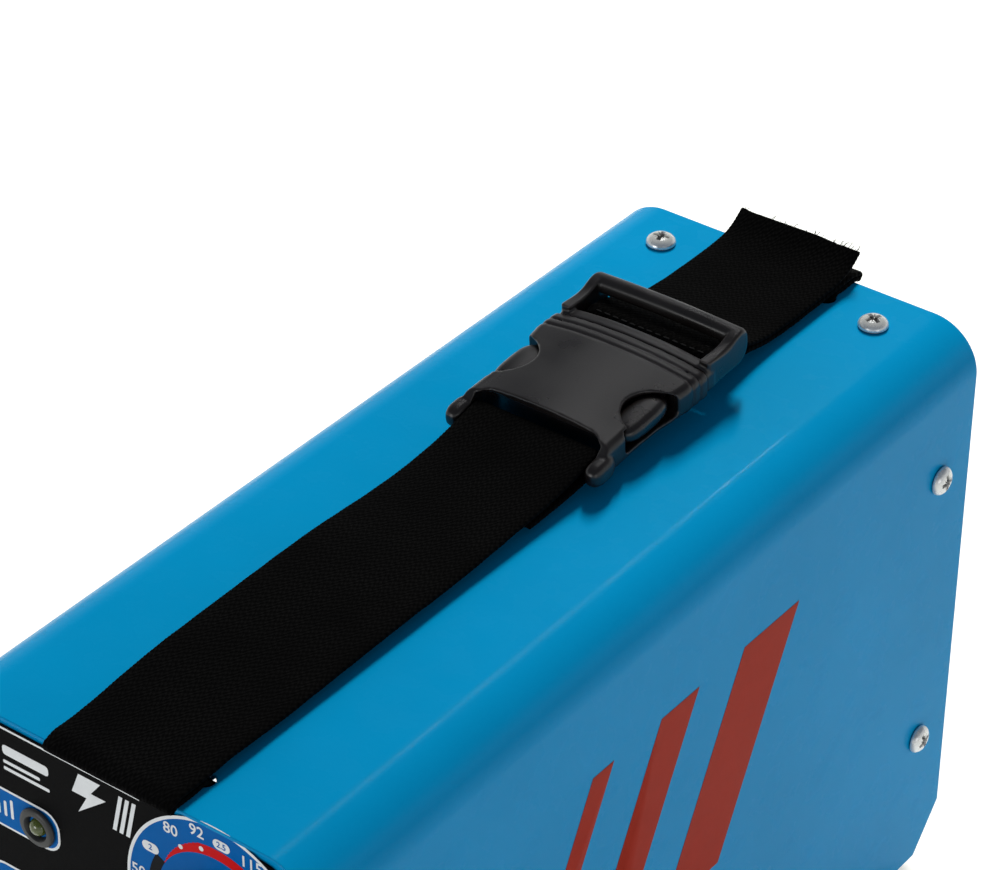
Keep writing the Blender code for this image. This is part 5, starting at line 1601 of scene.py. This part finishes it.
@dataclass
class Fan:
    """The cooling fan with curved blades, and its wire guard."""

    blades: int = 7
    rings: int = 5
    wire: float = 0.0012

    def rotor(self) -> None:
        """The hub and its curved, twisted blades."""
        low, high, middle = boxed("fan_rotor")
        hub_r, deep = 0.0145, high.y - low.y
        profile = [
            (0, 0.0), (hub_r - 0.0006, 0.0), (hub_r, 0.0006), (hub_r, deep - 0.002),
            (hub_r - 0.0006, deep - 0.0008), (hub_r - 0.002, deep - 0.0001), (hub_r - 0.004, deep),
            (hub_r - 0.0046, deep - 0.0006), (0, deep - 0.0006),
        ]
        hub = as_object("rotor_moulded", turned(profile, (middle.x, low.y, middle.z), REARWARDS, 84))
        blades = []
        tip = (high.x - low.x) / 2 - 0.0004
        for k in range(self.blades):
            rings = []
            for j in range(13):
                share = j / 12
                r = hub_r - 0.0015 + share * (tip - hub_r + 0.0015)
                pitch = math.radians(54 - 14 * share)
                chord = 0.0175 + 0.0035 * share
                ring = []
                for i in range(18):
                    around = math.tau * i / 18
                    c = 0.5 * chord * math.cos(around)
                    t = 0.0007 * math.sin(around) + 0.0016 * (1 - (2 * c / chord) ** 2)
                    a = c * math.cos(pitch) + t * math.sin(pitch)
                    b = -c * math.sin(pitch) + t * math.cos(pitch)
                    sweep = 0.2 * share + b / r
                    ring.append(Vector((r * math.cos(sweep), a, r * math.sin(sweep))))
                rings.append(ring)
            blade = loft(rings)
            turn = Matrix.Translation(middle) @ Matrix.Rotation(math.tau * k / self.blades, 4, "Y")
            blades.append(moved(blade, turn))
        carved(hub, blades, "UNION")
        dressed(smoothed(hub, 40.0), PLASTIC, ["fan_rotor"], "fan_wheel")

    def guard(self) -> None:
        """Round wires on four legs that end in screw eyes, and a pressed middle plate."""
        low, high, spot = boxed("fan_guard")
        spot.y = low.y + self.wire
        guide = guide_line("fan_guard_wires", [(0, 0, 0)])
        guard_tree().grow(guide, {
            "Wires": self.rings,
            "Outer Radius": 0.0368,
            "Wire Radius": self.wire,
            "Facets": 96,
            "Material": CHROME.material(),
        })
        guide.data.transform(Matrix.Translation(spot) @ Matrix.Rotation(math.pi / 2, 4, "X"))
        reach = (high.x - low.x) / 2 - 0.0045
        plate = [(0, -0.0006), (0.0085, -0.0006), (0.009, 0), (0.0085, 0.0006), (0, 0.0006)]
        shapes = [turned(plate, spot, REARWARDS, 48)]
        eye_radius, turns = 0.0034, [math.tau * j / 12 for j in range(12)]
        back = Vector((0, self.wire * 0.9, 0))
        for side in BOTH_SIDES:
            for level in BOTH_SIDES:
                eye = spot + Vector((side * reach, 0, level * reach))
                leg = [spot + back + (eye - spot) * share for share in (0.03, 0.5, 0.9)]
                leg.append(eye - (eye - spot).normalized() * eye_radius)
                shapes.append(tube(leg, self.wire * 0.95, 12))
                rings = []
                for a, b in arc((0, 0), eye_radius, 0, 360, 28)[:-1]:
                    p = eye + Vector((a, 0, b))
                    out, rear = (p - eye).normalized(), Vector(REARWARDS)
                    rings.append([p + self.wire * (math.cos(t) * out + math.sin(t) * rear) for t in turns])
                shapes.append(loft(rings, True))
        made = as_object("fan_guard_chrome", joined([shape_of(guide), *shapes]), 45.0)
        dressed(made, CHROME, ["fan_guard"])

    def build(self) -> None:
        """Builds the rotor and the guard, and finishes the frame."""
        self.rotor()
        self.guard()
        repaint("fan_frame", PLASTIC)


@dataclass
class PowerSwitch:
    """The rocker switch with raised on and off marks."""

    def axle(self, pivot: Vector, radius: float, reach: float) -> Shape:
        """A round pin across the switch at the rocker's pivot."""
        return turned([(0, -reach), (radius, -reach), (radius, reach), (0, reach)], pivot, SIDEWAYS, 20)

    def build(self) -> None:
        """Builds the housing's rim, the rocker and its marks."""
        low, high, middle = boxed("power_switch_housing")
        size = (high.x - low.x, high.z - low.z)
        centre, rear = (middle.x, middle.z), CASE.back - REAR_INSET
        rim = prism(rounded(centre, size, 0.0022, 8), "Y", rear + 0.0003, high.y)
        rim = as_object("switch_housing_moulded", rim)
        barrel = prism(rounded(centre, (0.0215, 0.0275), 0.001, 3), "Y", low.y, rear + 0.001)
        carved(rim, [barrel], "UNION")
        well = prism(rounded(centre, (0.0163, 0.022), 0.0006, 3), "Y", rear - 0.0087, high.y + 0.002)
        pivot = boxed("power_switch_rocker")[2]
        pivot.y = rear + 0.0008
        carved(rim, [well, self.axle(pivot, 0.0014, 0.0094)])
        dressed(softened(rim, 0.0004, 3), PLASTIC, ["power_switch_housing"])
        half, width = 0.0098, 0.0155
        hollow = [(0.0018 + 0.0012 * (s / 8) ** 2, half * s / 8) for s in range(-8, 9)]
        outline = [(-0.0055, 0.0), (-0.004, -half * 0.85), *hollow, (-0.004, half * 0.85)]
        wing = prism(outline, "X", -width / 2, width / 2)
        stand = Matrix.Translation(pivot) @ Matrix.Rotation(math.radians(10), 4, "X")
        rocker = as_object("rocker_moulded", moved(wing, stand))
        carved(rocker, [self.axle(pivot, 0.0011, 0.0091)], "UNION")
        softened(rocker, 0.0005, 3)
        dressed(rocker, ROCKER, ["power_switch_rocker"], "switch_rocker")
        bar = box_shape((-0.0004, 0.002, 0.004), (0.0004, 0.00255, 0.0073))
        section = [(0.0011, -0.0002), (0.0017, -0.0002), (0.0017, 0.0002), (0.0011, 0.0002)]
        ring = turned(section, (0, 0.00235, -0.0055), REARWARDS, 28, True)
        marks = as_object("rocker_marks", joined([moved(bar, stand), moved(ring, stand)]))
        dressed(marks, WHITE_INK, body="switch_rocker")


@dataclass
class Gland:
    """The cable gland: a flanged collar, a ribbed dome nut and its bore."""

    def build(self) -> None:
        """Builds the gland and finishes the nut inside."""
        _, high, centre = boxed("cable_gland")
        rear = CASE.back - REAR_INSET
        centre.y = rear
        reach = high.y - rear

        def ribbed(angle: float, index: int) -> float:
            """The ribs, round the grip alone."""
            return -0.0007 * (0.5 - 0.5 * math.cos(16 * angle)) ** 3 if index in (9, 10, 11) else 0.0

        profile = [
            (0.0054, reach), (0.005, reach - 0.0004), (0.005, -0.0094), (0.0079, -0.0094),
            (0.0079, 0.0004), (0.0121, 0.0004), (0.0125, 0.0008), (0.0125, 0.0051), (0.0121, 0.0055),
            (0.0115, 0.0062), (0.0115, 0.01), (0.0114, 0.0142), (0.0104, 0.016),
            (0.0092, reach - 0.0014), (0.0082, reach - 0.0003), (0.0075, reach),
        ]
        body = turned(profile, centre, REARWARDS, 128, True, ribbed)
        dressed(as_object("gland_moulded", body), PLASTIC, ["cable_gland"])
        repaint("gland_nut", PLASTIC)


# ---- buckle
@dataclass(frozen=True)
class Buckle:
    """The side-release buckle: receiver, frame on the rear strap, and two sprung arms.

    Its own axes are x, u along it from the receiver's feet, and n above its underside.
    """

    start_v: float = 0.15892
    lift: float = 0.0034
    tilt: float = 4.0
    receiver_pin: Pair = (0.006, 0.003)
    ladder_pin: Pair = (0.0592, 0.0032)
    pin_radius: float = 0.0015
    grooves: Pair = (0.0424, 0.0456)
    voxel: float = 0.00034

    def matrix(self) -> Matrix:
        """From the buckle's own axes to the frame's."""
        place = Matrix.Translation(CASE.spot(0, self.start_v, -self.lift))
        return place @ Matrix.Rotation(math.radians(self.tilt), 4, "X")

    def place(self, u: float, n: float) -> Pair:
        """A place in the buckle, as (v, height above the cover)."""
        spot = self.matrix() @ Vector((0, u, n))
        return spot.y - CASE.front, spot.z - CASE.top

    def half_width(self, u: float) -> float:
        """The receiver's half width at u."""
        route = (
            (0, 0.0232), (0.006, 0.0235), (0.018, 0.0233), (0.027, 0.0236),
            (0.035, 0.0246), (0.041, 0.0253), (0.05, 0.0255),
        )
        for (a, wa), (b, wb) in zip(route, route[1:]):
            if a <= u <= b:
                t = (u - a) / (b - a)
                return wa + (wb - wa) * t * t * (3 - 2 * t)
        return route[-1][1]

    def section(self, u: float) -> list[Vector]:
        """The receiver's outline across at u: flat below, crowned above, round at the edges."""
        dip = sum(0.00055 * math.exp(-(((u - g) / 0.00042) ** 2)) for g in self.grooves)
        half = self.half_width(u) - dip * 0.8
        ends = max(0.0, 0.003 - u) / 0.003
        tall = 0.0106 - dip - 0.0008 * max(0.0, (u - 0.04) / 0.009) ** 2
        edge_r, foot_r, drop = 0.0026, 0.0015 + 0.001 * ends, 0.0017
        inner = half - edge_r
        crown = []
        for k in range(25):
            x = inner * (1 - k / 12)
            crown.append((x, tall - drop * abs(x / inner) ** 2.3))
        right = arc((inner, tall - drop - edge_r), edge_r, 0, 80, 6)
        left = [(-x, n) for x, n in reversed(right)]
        foot = arc((half - foot_r, foot_r), foot_r, -90, 0, 5)
        outline = foot + right + crown + left + [(-x, n) for x, n in reversed(foot)]
        return [Vector((x, u, n)) for x, n in outline]

    def receiver(self) -> None:
        """The half on the front strap."""
        steps = [0.0, 0.0004, 0.0012, 0.003] + [0.0055 + 0.0025 * k for k in range(14)]
        steps += [0.04 + 0.0003 * k for k in range(30)]
        body = as_object("receiver_moulded", loft([self.section(u) for u in steps]), 60.0)
        mouth = [(0.0205, -0.006), (0.0205, 0.0046)] + arc((0.0155, 0.0046), 0.005, 0, 90, 8)[1:]
        mouth += [(-x, u) for x, u in reversed(mouth)]
        cutters = [prism(mouth, "Z", -0.004, 0.016)]
        hood = [(0.0205, -0.006), (0.0205, 0.009)] + arc((0.0165, 0.009), 0.004, 0, 90, 6)[1:]
        hood += [(-x, u) for x, u in reversed(hood)]
        cutters.append(prism(hood, "Z", -0.004, 0.0082))
        slope = [
            (-0.004, 0.005), (0.002, 0.005), (0.005, 0.0064),
            (0.01, 0.0112), (0.01, 0.016), (-0.004, 0.016),
        ]
        cutters.append(prism(slope, "X", -0.03, 0.03))
        cutters.append(box_shape((-0.0216, 0.0146, 0.0016), (0.0216, 0.055, 0.0082)))
        for side in BOTH_SIDES:
            xs = sorted((side * 0.0188, side * 0.031))
            cutters.append(prism(rounded((0, 0), (0.022, 0.0064), 0.0012), "X", *xs))
            moved(cutters[-1], Matrix.Translation((0, 0.0253, 0.0051)))
            turns = [math.tau * k / 48 for k in range(48)]
            bite = [(side * (0.0275 + 0.0122 * math.cos(a)), 0.0258 + 0.01 * math.sin(a)) for a in turns]
            cutters.append(prism(bite, "Z", 0.005, 0.016))
        carved(body, cutters)
        pin = tube([Vector((x, *self.receiver_pin)) for x in (-0.0217, 0, 0.0217)], self.pin_radius, 20)
        toe_size = (0.0026, 0.005, 0.0033)
        toes = [pillow((side * 0.0227, 0.0034, 0.0033), toe_size, 2.8, 18) for side in BOTH_SIDES]
        carved(body, [pin, *toes], "UNION")
        moulding(body, self.voxel, 3, 0.42)
        body.data.transform(self.matrix())
        dressed(body, BUCKLE, ["buckle_receiver"], "buckle_front")

    def frame_half(self) -> None:
        """The half on the rear strap: shoulder, D-shaped ears, ladder pin, rear bar and tongue."""
        ear = smooth_route([
            (0.0505, 0.0008), (0.064, 0.0006), (0.0674, 0.0016), (0.0692, 0.004), (0.0695, 0.0072),
            (0.0688, 0.0096), (0.0668, 0.0108), (0.064, 0.0105), (0.061, 0.0096), (0.058, 0.0092),
            (0.0545, 0.0093), (0.0505, 0.0097),
        ], 4)
        steps = ((0.0212, 0.0004), (0.0215, 0.0), (0.0237, 0.0), (0.0243, 0.0003), (0.0246, 0.001))
        shapes = []
        for side in BOTH_SIDES:
            rings = []
            for x, shrink in steps:
                centre = Vector((0.06, 0.0054))
                ring = []
                for u, n in ear:
                    off = Vector((u, n)) - centre
                    off *= 1 - shrink / max(off.length, 0.001)
                    ring.append(Vector((side * x, centre.x + off.x, centre.y + off.y)))
                rings.append(ring)
            shapes.append(loft(rings))
        front = 0.0494
        rings = []
        for u, shrink in ((front, 0.0003), (front + 0.0003, 0.0), (0.0526, 0.0), (0.0532, 0.0004)):
            wide, lift = 0.972 - shrink * 10, 0.0006 - shrink
            rings.append([Vector((p.x * wide, u, lift + (p.z - 0.0004) * 0.94)) for p in self.section(0.049)])
        shapes.append(loft(rings))
        bar = [
            (0.0636, 0.0072), (0.065, 0.0058), (0.0684, 0.0052), (0.0694, 0.0066),
            (0.0694, 0.0086), (0.0682, 0.0104), (0.0658, 0.0108), (0.064, 0.0096),
        ]
        bar = smooth_route([*bar, bar[0]], 3)[:-1]
        rings, reach = [], 0.0236
        for k in range(21):
            x = reach * (k / 10 - 1)
            rise = 0.0006 * (1 - (x / reach) ** 2)
            rings.append([Vector((x, u, n + rise)) for u, n in bar])
        shapes.append(loft(rings))
        pin = [Vector((x, *self.ladder_pin)) for x in (-reach, 0, reach)]
        shapes.append(tube(pin, self.pin_radius, 20))
        shapes.append(box_shape((-0.004, 0.0225, 0.0027), (0.004, 0.0505, 0.0073)))
        body = as_object("frame_moulded", shapes[0])
        carved(body, shapes[1:], "UNION")
        moulding(body, self.voxel, 3, 0.42)
        body.data.transform(self.matrix())
        dressed(body, BUCKLE, ["buckle_frame"])

    def arms(self) -> None:
        """The sprung arms, each with a press pad that fills its window."""
        outline = [
            (0.0135, 0.0487), (0.0135, 0.043), (0.0168, 0.039), (0.0168, 0.034), (0.0157, 0.03),
            (0.0157, 0.017), (0.019, 0.0168), (0.022, 0.02), (0.0226, 0.024), (0.0226, 0.029),
            (0.022, 0.0325), (0.02, 0.035), (0.02, 0.0445), (0.0195, 0.0487),
        ]
        for name, side in (("left", -1), ("right", 1)):
            beam = prism([(side * x, u) for x, u in outline], "Z", 0.0028, 0.0072)
            arm = as_object(f"arm_{name}_moulded", beam)
            pad = pillow((side * 0.0194, 0.0256, 0.0052), (0.0045, 0.0098, 0.0029), 3.0, 24)
            inner, outer = sorted((side * 0.0229, side * 0.0236))
            middles = (0.0215, 0.0256, 0.0297)
            ribs = [box_shape((inner, u - 0.0004, 0.0032), (outer, u + 0.0004, 0.007)) for u in middles]
            carved(arm, [pad], "UNION")
            carved(arm, ribs)
            moulding(arm, self.voxel, 2, 0.45)
            arm.data.transform(self.matrix())
            dressed(arm, BUCKLE, ["buckle_arm_" + name], "arm_" + name)

    def build(self) -> None:
        """Builds every part of the buckle."""
        self.receiver()
        self.frame_half()
        self.arms()


# ---- straps
@dataclass
class Strap:
    """Woven webbing that follows a route of (v, height above the cover)."""

    width: float = 0.04
    thickness: float = 0.0014
    gap: float = 0.0003
    slot_from_end: float = 0.012
    bar_radius: float = 0.002
    bar_drop: float = 0.0075
    spacing: float = 0.00042
    buckle: Buckle = Buckle()
    flat_length: float = 0.0

    def hook(self, slot: float, inward: int) -> list[Pair]:
        """The strap's end round its retaining bar, up to the slot."""
        wrap = self.bar_radius + self.gap + self.thickness / 2
        middle = slot + inward * wrap
        turns = [math.radians(20 - 25 * k) for k in range(9)]
        return [(middle + inward * wrap * math.cos(a), wrap * math.sin(a) - self.bar_drop) for a in turns]

    def fold(self, slot: float, end: float) -> list[Pair]:
        """The way out of a slot, over the cover's edge and back over itself."""
        out = math.copysign(1, end - slot)
        low = self.gap + self.thickness / 2
        radius = (self.thickness + self.gap) / 2
        start = [
            (slot, -0.003), (slot + out * 0.0002, -0.0006), (slot + out * 0.0022, low + 0.0002),
            (slot + out * 0.005, low), (end - out * 0.001, low), (end + out * 0.0006, low - 0.0001),
        ]
        turns = [math.radians(-60 - 40 * k) for k in range(6)]
        bend = [(end + out * 0.0018 - out * radius * math.cos(a), low + radius * math.sin(a)) for a in turns]
        high = low + self.thickness + self.gap
        return start + bend + [(end - out * 0.0012, high + 0.0001), (end - out * 0.005, high + 0.0001)]

    def round_pin(self, pin: Pair, start: float, end: float, steps: int) -> list[Pair]:
        """The middle of the strap round a buckle pin."""
        reach = self.buckle.pin_radius + self.gap + self.thickness / 2
        return arc(self.buckle.place(*pin), reach, start, end, steps)

    def even(self, route: Sequence[Pair]) -> list[Pair]:
        """The smooth curve through a route, with points at an even spacing."""
        fine = [Vector(p) for p in smooth_route(route, 10)]
        far = [0.0]
        for a, b in zip(fine, fine[1:]):
            far.append(far[-1] + (b - a).length)
        count = int(far[-1] / self.spacing)
        points, k = [], 0
        for j in range(count + 1):
            want = far[-1] * j / count
            while k < len(far) - 2 and far[k + 1] < want:
                k += 1
            share = (want - far[k]) / max(far[k + 1] - far[k], 1e-9)
            points.append(tuple(fine[k].lerp(fine[k + 1], min(max(share, 0), 1))))
        return points

    def weave(self, name: str, route: Sequence[Pair], roll: Callable[[float], float], ragged: bool) -> Piece:
        """Makes the webbing along a route.

        Args:
            name: The object's name.
            route: The middle of the strap.
            roll: How far the left edge is raised and the right one lowered, at a distance along.
            ragged: True if the last end is cut unevenly.

        Returns:
            The strap, with its weave map.
        """
        points = self.even(route)
        half, thick = self.width / 2 - 0.0005, self.thickness / 2
        across = [half * (1 - 2 * k / 12) for k in range(13)]
        ring = [(x, 1.0, 0.0) for x in across]
        ring += [(-half, math.cos(a), -math.sin(a)) for a in (math.pi / 4, math.pi / 2, 3 * math.pi / 4)]
        ring += [(x, -1.0, 0.0) for x in reversed(across)]
        ring += [(half, -math.cos(a), math.sin(a)) for a in (math.pi / 4, math.pi / 2, 3 * math.pi / 4)]
        draw = random.Random(11)
        shape = bmesh.new()
        weave = shape.loops.layers.uv.new("weave")
        loops, far, last = [], 0.0, None
        for k, (v, rise) in enumerate(points):
            here = Vector((v, rise))
            far += (here - last).length if last is not None else 0.0
            last = here
            ahead = Vector(points[min(k + 2, len(points) - 1)]) - Vector(points[max(k - 2, 0)])
            along = ahead.normalized()
            off = Vector((-along.y, along.x))
            lean = roll(v) if k > 60 else 0.0
            picks = 0.00013 * math.sin(math.tau * far / 0.00126)
            loop = []
            for x, up, out in ring:
                reach = x + out * 0.0005 + (math.copysign(picks, x) if abs(x) > half * 0.99 else 0.0)
                ripple = 0.00005 * math.sin(far * 540 + x * 160) * math.cos(x * 260 - far * 90)
                spot = here + off * (thick * up + ripple - lean * reach / half)
                if ragged and k > len(points) - 3:
                    spot += along * draw.uniform(-0.0001, 0.0004)
                loop.append(shape.verts.new(CASE.spot(reach, spot.x, -spot.y)))
            loops.append((far, loop))
        count = len(ring)
        for (far_one, one), (far_two, two) in zip(loops, loops[1:]):
            for j in range(count):
                n = (j + 1) % count
                face = shape.faces.new((one[j], one[n], two[n], two[j]))
                ends = ((j, far_one), (n, far_one), (n, far_two), (j, far_two))
                for corner, (i, far_here) in zip(face.loops, ends):
                    corner[weave].uv = (ring[i][0] + ring[i][2] * 0.0005, far_here)
        for far_end, loop in (loops[0], loops[-1]):
            face = shape.faces.new(loop)
            for corner, item in zip(face.loops, ring):
                corner[weave].uv = (item[0], far_end + item[1] * thick)
        self.flat_length = far
        made = as_object(name, shape, 50.0)
        made["length"] = far
        return made

    def front(self) -> None:
        """The front strap, from its bar over the cover to the buckle's receiver."""
        start, end = 0.022, self.buckle.start_v - 0.0109
        crest = (
            (0.0, 0.0037), (0.14, 0.0042), (0.34, 0.0047), (0.54, 0.005), (0.74, 0.0046), (0.9, 0.005),
        )
        route = self.hook(self.slot_from_end, 1) + self.fold(self.slot_from_end, 0)
        route += [(0.012, 0.003)] + [(start + share * (end - start), rise) for share, rise in crest]
        route += [(end, 0.0061), (self.buckle.start_v - 0.0019, 0.0077)]
        route += self.round_pin(self.buckle.receiver_pin, 90, -75, 8)
        under = ((0.0019, 0.0034), (0.0119, 0.0028), (0.0229, 0.0026))
        route += [(self.buckle.start_v - back, rise) for back, rise in under]

        def roll(v: float) -> float:
            """The roll grows behind the front edge and dies out before the buckle."""
            rise = min(max((v - 0.012) / 0.03, 0.0), 1.0)
            fall = min(max((0.135 - v) / 0.04, 0.0), 1.0)
            return 0.0013 * rise * rise * (3 - 2 * rise) * fall * fall * (3 - 2 * fall)

        made = self.weave("front_webbing", route, roll, False)
        dressed(made, WEBBING, ["front_strap"], rides=False)
        fixed, moving = CASE.spot(0, 0.028, -0.004), CASE.spot(0, self.buckle.start_v, -0.004)
        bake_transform(made)

    def rear(self) -> None:
        """The rear strap, from its bar round the ladder pin to its cut tail over the rear fold."""
        end, slot = CASE.length, CASE.length - self.slot_from_end
        route = self.hook(slot, -1) + self.fold(slot, end)
        pin_v, pin_h = self.buckle.place(*self.buckle.ladder_pin)
        low_run = end - 0.005 - (pin_v + 0.0183)
        route += [(end - 0.005 - 0.31 * low_run, 0.0026), (end - 0.005 - 0.72 * low_run, 0.0028)]
        route += [(pin_v + 0.0183, pin_h - 0.0058), (pin_v + 0.009, pin_h - 0.0036)]
        route += self.round_pin(self.buckle.ladder_pin, -85, -275, 9)
        route += [(pin_v + 0.005, pin_h + 0.0017), (pin_v + 0.01, pin_h + 0.0001)]
        route += [(pin_v + 0.0163, pin_h - 0.003), (pin_v + 0.025, pin_h - 0.0054)]
        tail_v = CASE.length + 0.0006
        run = tail_v - (pin_v + 0.025)
        tail = ((0.24, 0.0044), (0.56, 0.0042), (0.77, 0.0046), (0.9, 0.0062), (1.0, 0.0094))
        route += [(tail_v - (1 - share) * run, rise) for share, rise in tail]
        made = self.weave("rear_webbing", route, lambda v: 0.0, True)
        dressed(made, WEBBING, ["rear_strap"])
        self.stitches(pin_v, pin_h)
        self.frays(tail_v)

    def build(self) -> None:
        """Weaves both straps."""
        self.front()
        self.rear()

    def stitches(self, pin_v: float, pin_h: float) -> None:
        """Two rows of thread across the strap where it lies over the ladder pin."""
        model = pillow((0, 0, 0), (0.001, 0.00022, 0.00018), 2.2, 6)
        spots, turns = [], []
        for back in (-0.0016, 0.0016):
            reach = self.buckle.pin_radius + self.gap + self.thickness
            rise = math.sqrt(reach**2 - back**2)
            lean = -math.atan2(back, rise)
            for k in range(13):
                x = -0.0168 + k * 0.0028
                spots.append(CASE.spot(x, pin_v + back, -(pin_h + rise + 0.00004)))
                turns.append((lean, 0.0, 0.0))
        dressed(set_out("strap_stitches", model, spots, turns, THREAD, 0.08, 5), THREAD)

    def frays(self, tail_v: float) -> None:
        """Short loose fibres along the tail's cut end."""
        bend = [Vector((0, 0.0016 * t, 0.00035 * t * t)) for t in (-0.25, 0.2, 0.6, 1.0)]
        draw = random.Random(3)
        spots, turns = [], []
        for _ in range(44):
            x = draw.uniform(-0.0192, 0.0192)
            spots.append(CASE.spot(x, tail_v - 0.0002, -(0.0094 + draw.uniform(-0.0006, 0.0005))))
            turns.append((draw.uniform(-0.3, 0.9), draw.uniform(-0.6, 0.6), draw.gauss(0.0, 0.7)))
        fibre = tube(bend, 0.00007, 5)
        made = set_out("strap_fibres", fibre, spots, turns, WEBBING_FIBRE, 0.45, 9)
        dressed(made, WEBBING_FIBRE)


# ---- inside
INSIDE = {
    # The strap bars are blacked, their dark colour also standing in for the shadow under the strap.
    BLACKED_AND_SHADE: ("front_strap_bar", "rear_strap_bar"),
    CIRCUIT: ("power_board", "control_board"),
    ALUMINIUM: ("igbt_heatsink", "rectifier_heatsink"),
    PLASTIC: ("igbt_module", "diode_module", "bridge_rectifier", "soft_start_relay"),
    FERRITE: ("transformer_core",),
    WINDING: ("transformer_winding",),
    CHOKE: ("output_choke",),
    SLEEVE: ("bus_capacitor_front", "bus_capacitor_rear"),
    BUSBAR: ("negative_busbar", "positive_busbar"),
}


# ---- studio
@dataclass
class Studio:
    """Floor, camera and soft light."""

    camera_spot: Colour = (0.47343, -0.6273, 0.74618)
    yaw: float = 36.921
    pitch: float = 34.392
    roll: float = 0.4
    lens: float = 133.23

    def camera(self) -> None:
        """A long lens above the front right corner."""
        yaw, pitch, roll = (math.radians(a) for a in (self.yaw, self.pitch, self.roll))
        ahead = Vector((-math.sin(yaw) * math.cos(pitch), math.cos(yaw) * math.cos(pitch), -math.sin(pitch)))
        level = Vector((math.cos(yaw), math.sin(yaw), 0))
        high = level.cross(ahead)
        right = math.cos(roll) * level + math.sin(roll) * high
        up = math.cos(roll) * high - math.sin(roll) * level
        data = bpy.data.cameras.new("camera")
        data.lens = self.lens
        data.sensor_width = 36
        data.clip_start = 0.01
        made = placed("camera", data)
        turn = Matrix((right, up, -ahead)).transposed().to_4x4()
        made.matrix_world = Matrix.Translation(self.camera_spot) @ turn
        bpy.context.scene.camera = made

    def lamp(self, name: str, spot: Sequence[float], aim: Sequence[float], size: Pair, watts: float) -> Piece:
        """A soft rectangular light.

        Args:
            name: Its name.
            spot: Where it is.
            aim: What it points at.
            size: Its width and height.
            watts: Its power.

        Returns:
            The light.
        """
        data = bpy.data.lights.new(name, "AREA")
        data.shape = "RECTANGLE"
        data.size, data.size_y = size
        data.energy = watts
        made = placed(name, data)
        made.location = spot
        made.rotation_euler = (Vector(aim) - Vector(spot)).to_track_quat("-Z", "Y").to_euler()
        return made

    def floor(self) -> None:
        """A wide plain floor."""
        mesh = bpy.data.meshes.new("floor")
        mesh.from_pydata([(-9, -9, 0), (9, -9, 0), (9, 9, 0), (-9, 9, 0)], [], [(0, 1, 2, 3)])
        paint = bpy.data.materials.new("floor_white")
        paint.use_nodes = True
        Nodes(paint.node_tree).fill(paint.node_tree.nodes["Principled BSDF"], {
            "Base Color": (0.86, 0.86, 0.86, 1.0),
            "Roughness": 0.9,
            "Emission Color": (1.0, 1.0, 1.0, 1.0),
            "Emission Strength": 0.25,
        })
        mesh.materials.append(paint)
        placed("floor", mesh)

    def world(self) -> None:
        """A white surround, bright at the horizon."""
        made = bpy.data.worlds.new("surround")
        bpy.context.scene.world = made
        made.use_nodes = True
        nodes = Nodes(made.node_tree)
        way = nodes.add("ShaderNodeTexCoord").outputs["Generated"]
        height = nodes.add("ShaderNodeSeparateXYZ", {0: way}).outputs[2]
        shade = nodes.blend(nodes.spread(height, 0.0, 1.0, 0.2, 0.5), (0.97, 0.99, 1.0), (0.17, 0.19, 0.23))
        nodes.fill(made.node_tree.nodes["Background"], {"Color": shade, "Strength": 0.75})

    def build(self) -> None:
        """Sets everything up."""
        self.camera()
        self.floor()
        self.world()
        middle = (0, 0, 0.12)
        above, aim = (-0.53, 1.04, 1.55), (0, 0.05, 0.19)
        key = self.lamp("key", above, aim, (0.16, 0.75), 36.0)
        key.data.color = (1.0, 1.0, 0.88)
        key.visible_glossy = False
        glint = self.lamp("glint", above, aim, (0.06, 0.85), 3.8)
        glint.visible_diffuse = False
        self.lamp("fill", (2.2, -0.9, 0.42), middle, (1.0, 0.7), 2.6)
        self.lamp("front", (-0.5, -2.2, 0.5), middle, (1.0, 0.7), 9.0)
        bpy.context.scene.view_settings.view_transform = "Standard"


# ---- everything
def corners(pair: Sequence[Vector]) -> list[list[float]]:
    """Two corners as plain lists."""
    return [[float(c) for c in corner] for corner in pair]


def main() -> None:
    """Builds every piece and the studio."""
    logging.basicConfig(level=logging.INFO, format="%(message)s")
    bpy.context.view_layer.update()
    for part in (Shell, CaseScrews, Label, Sockets, Knob, Lamps, Fan, PowerSwitch, Gland, Buckle, Strap):
        part().build()
    for finish, nodes in INSIDE.items():
        for node in nodes:
            repaint(node, finish)
    Studio().build()


if __name__ == "__main__":
    main()
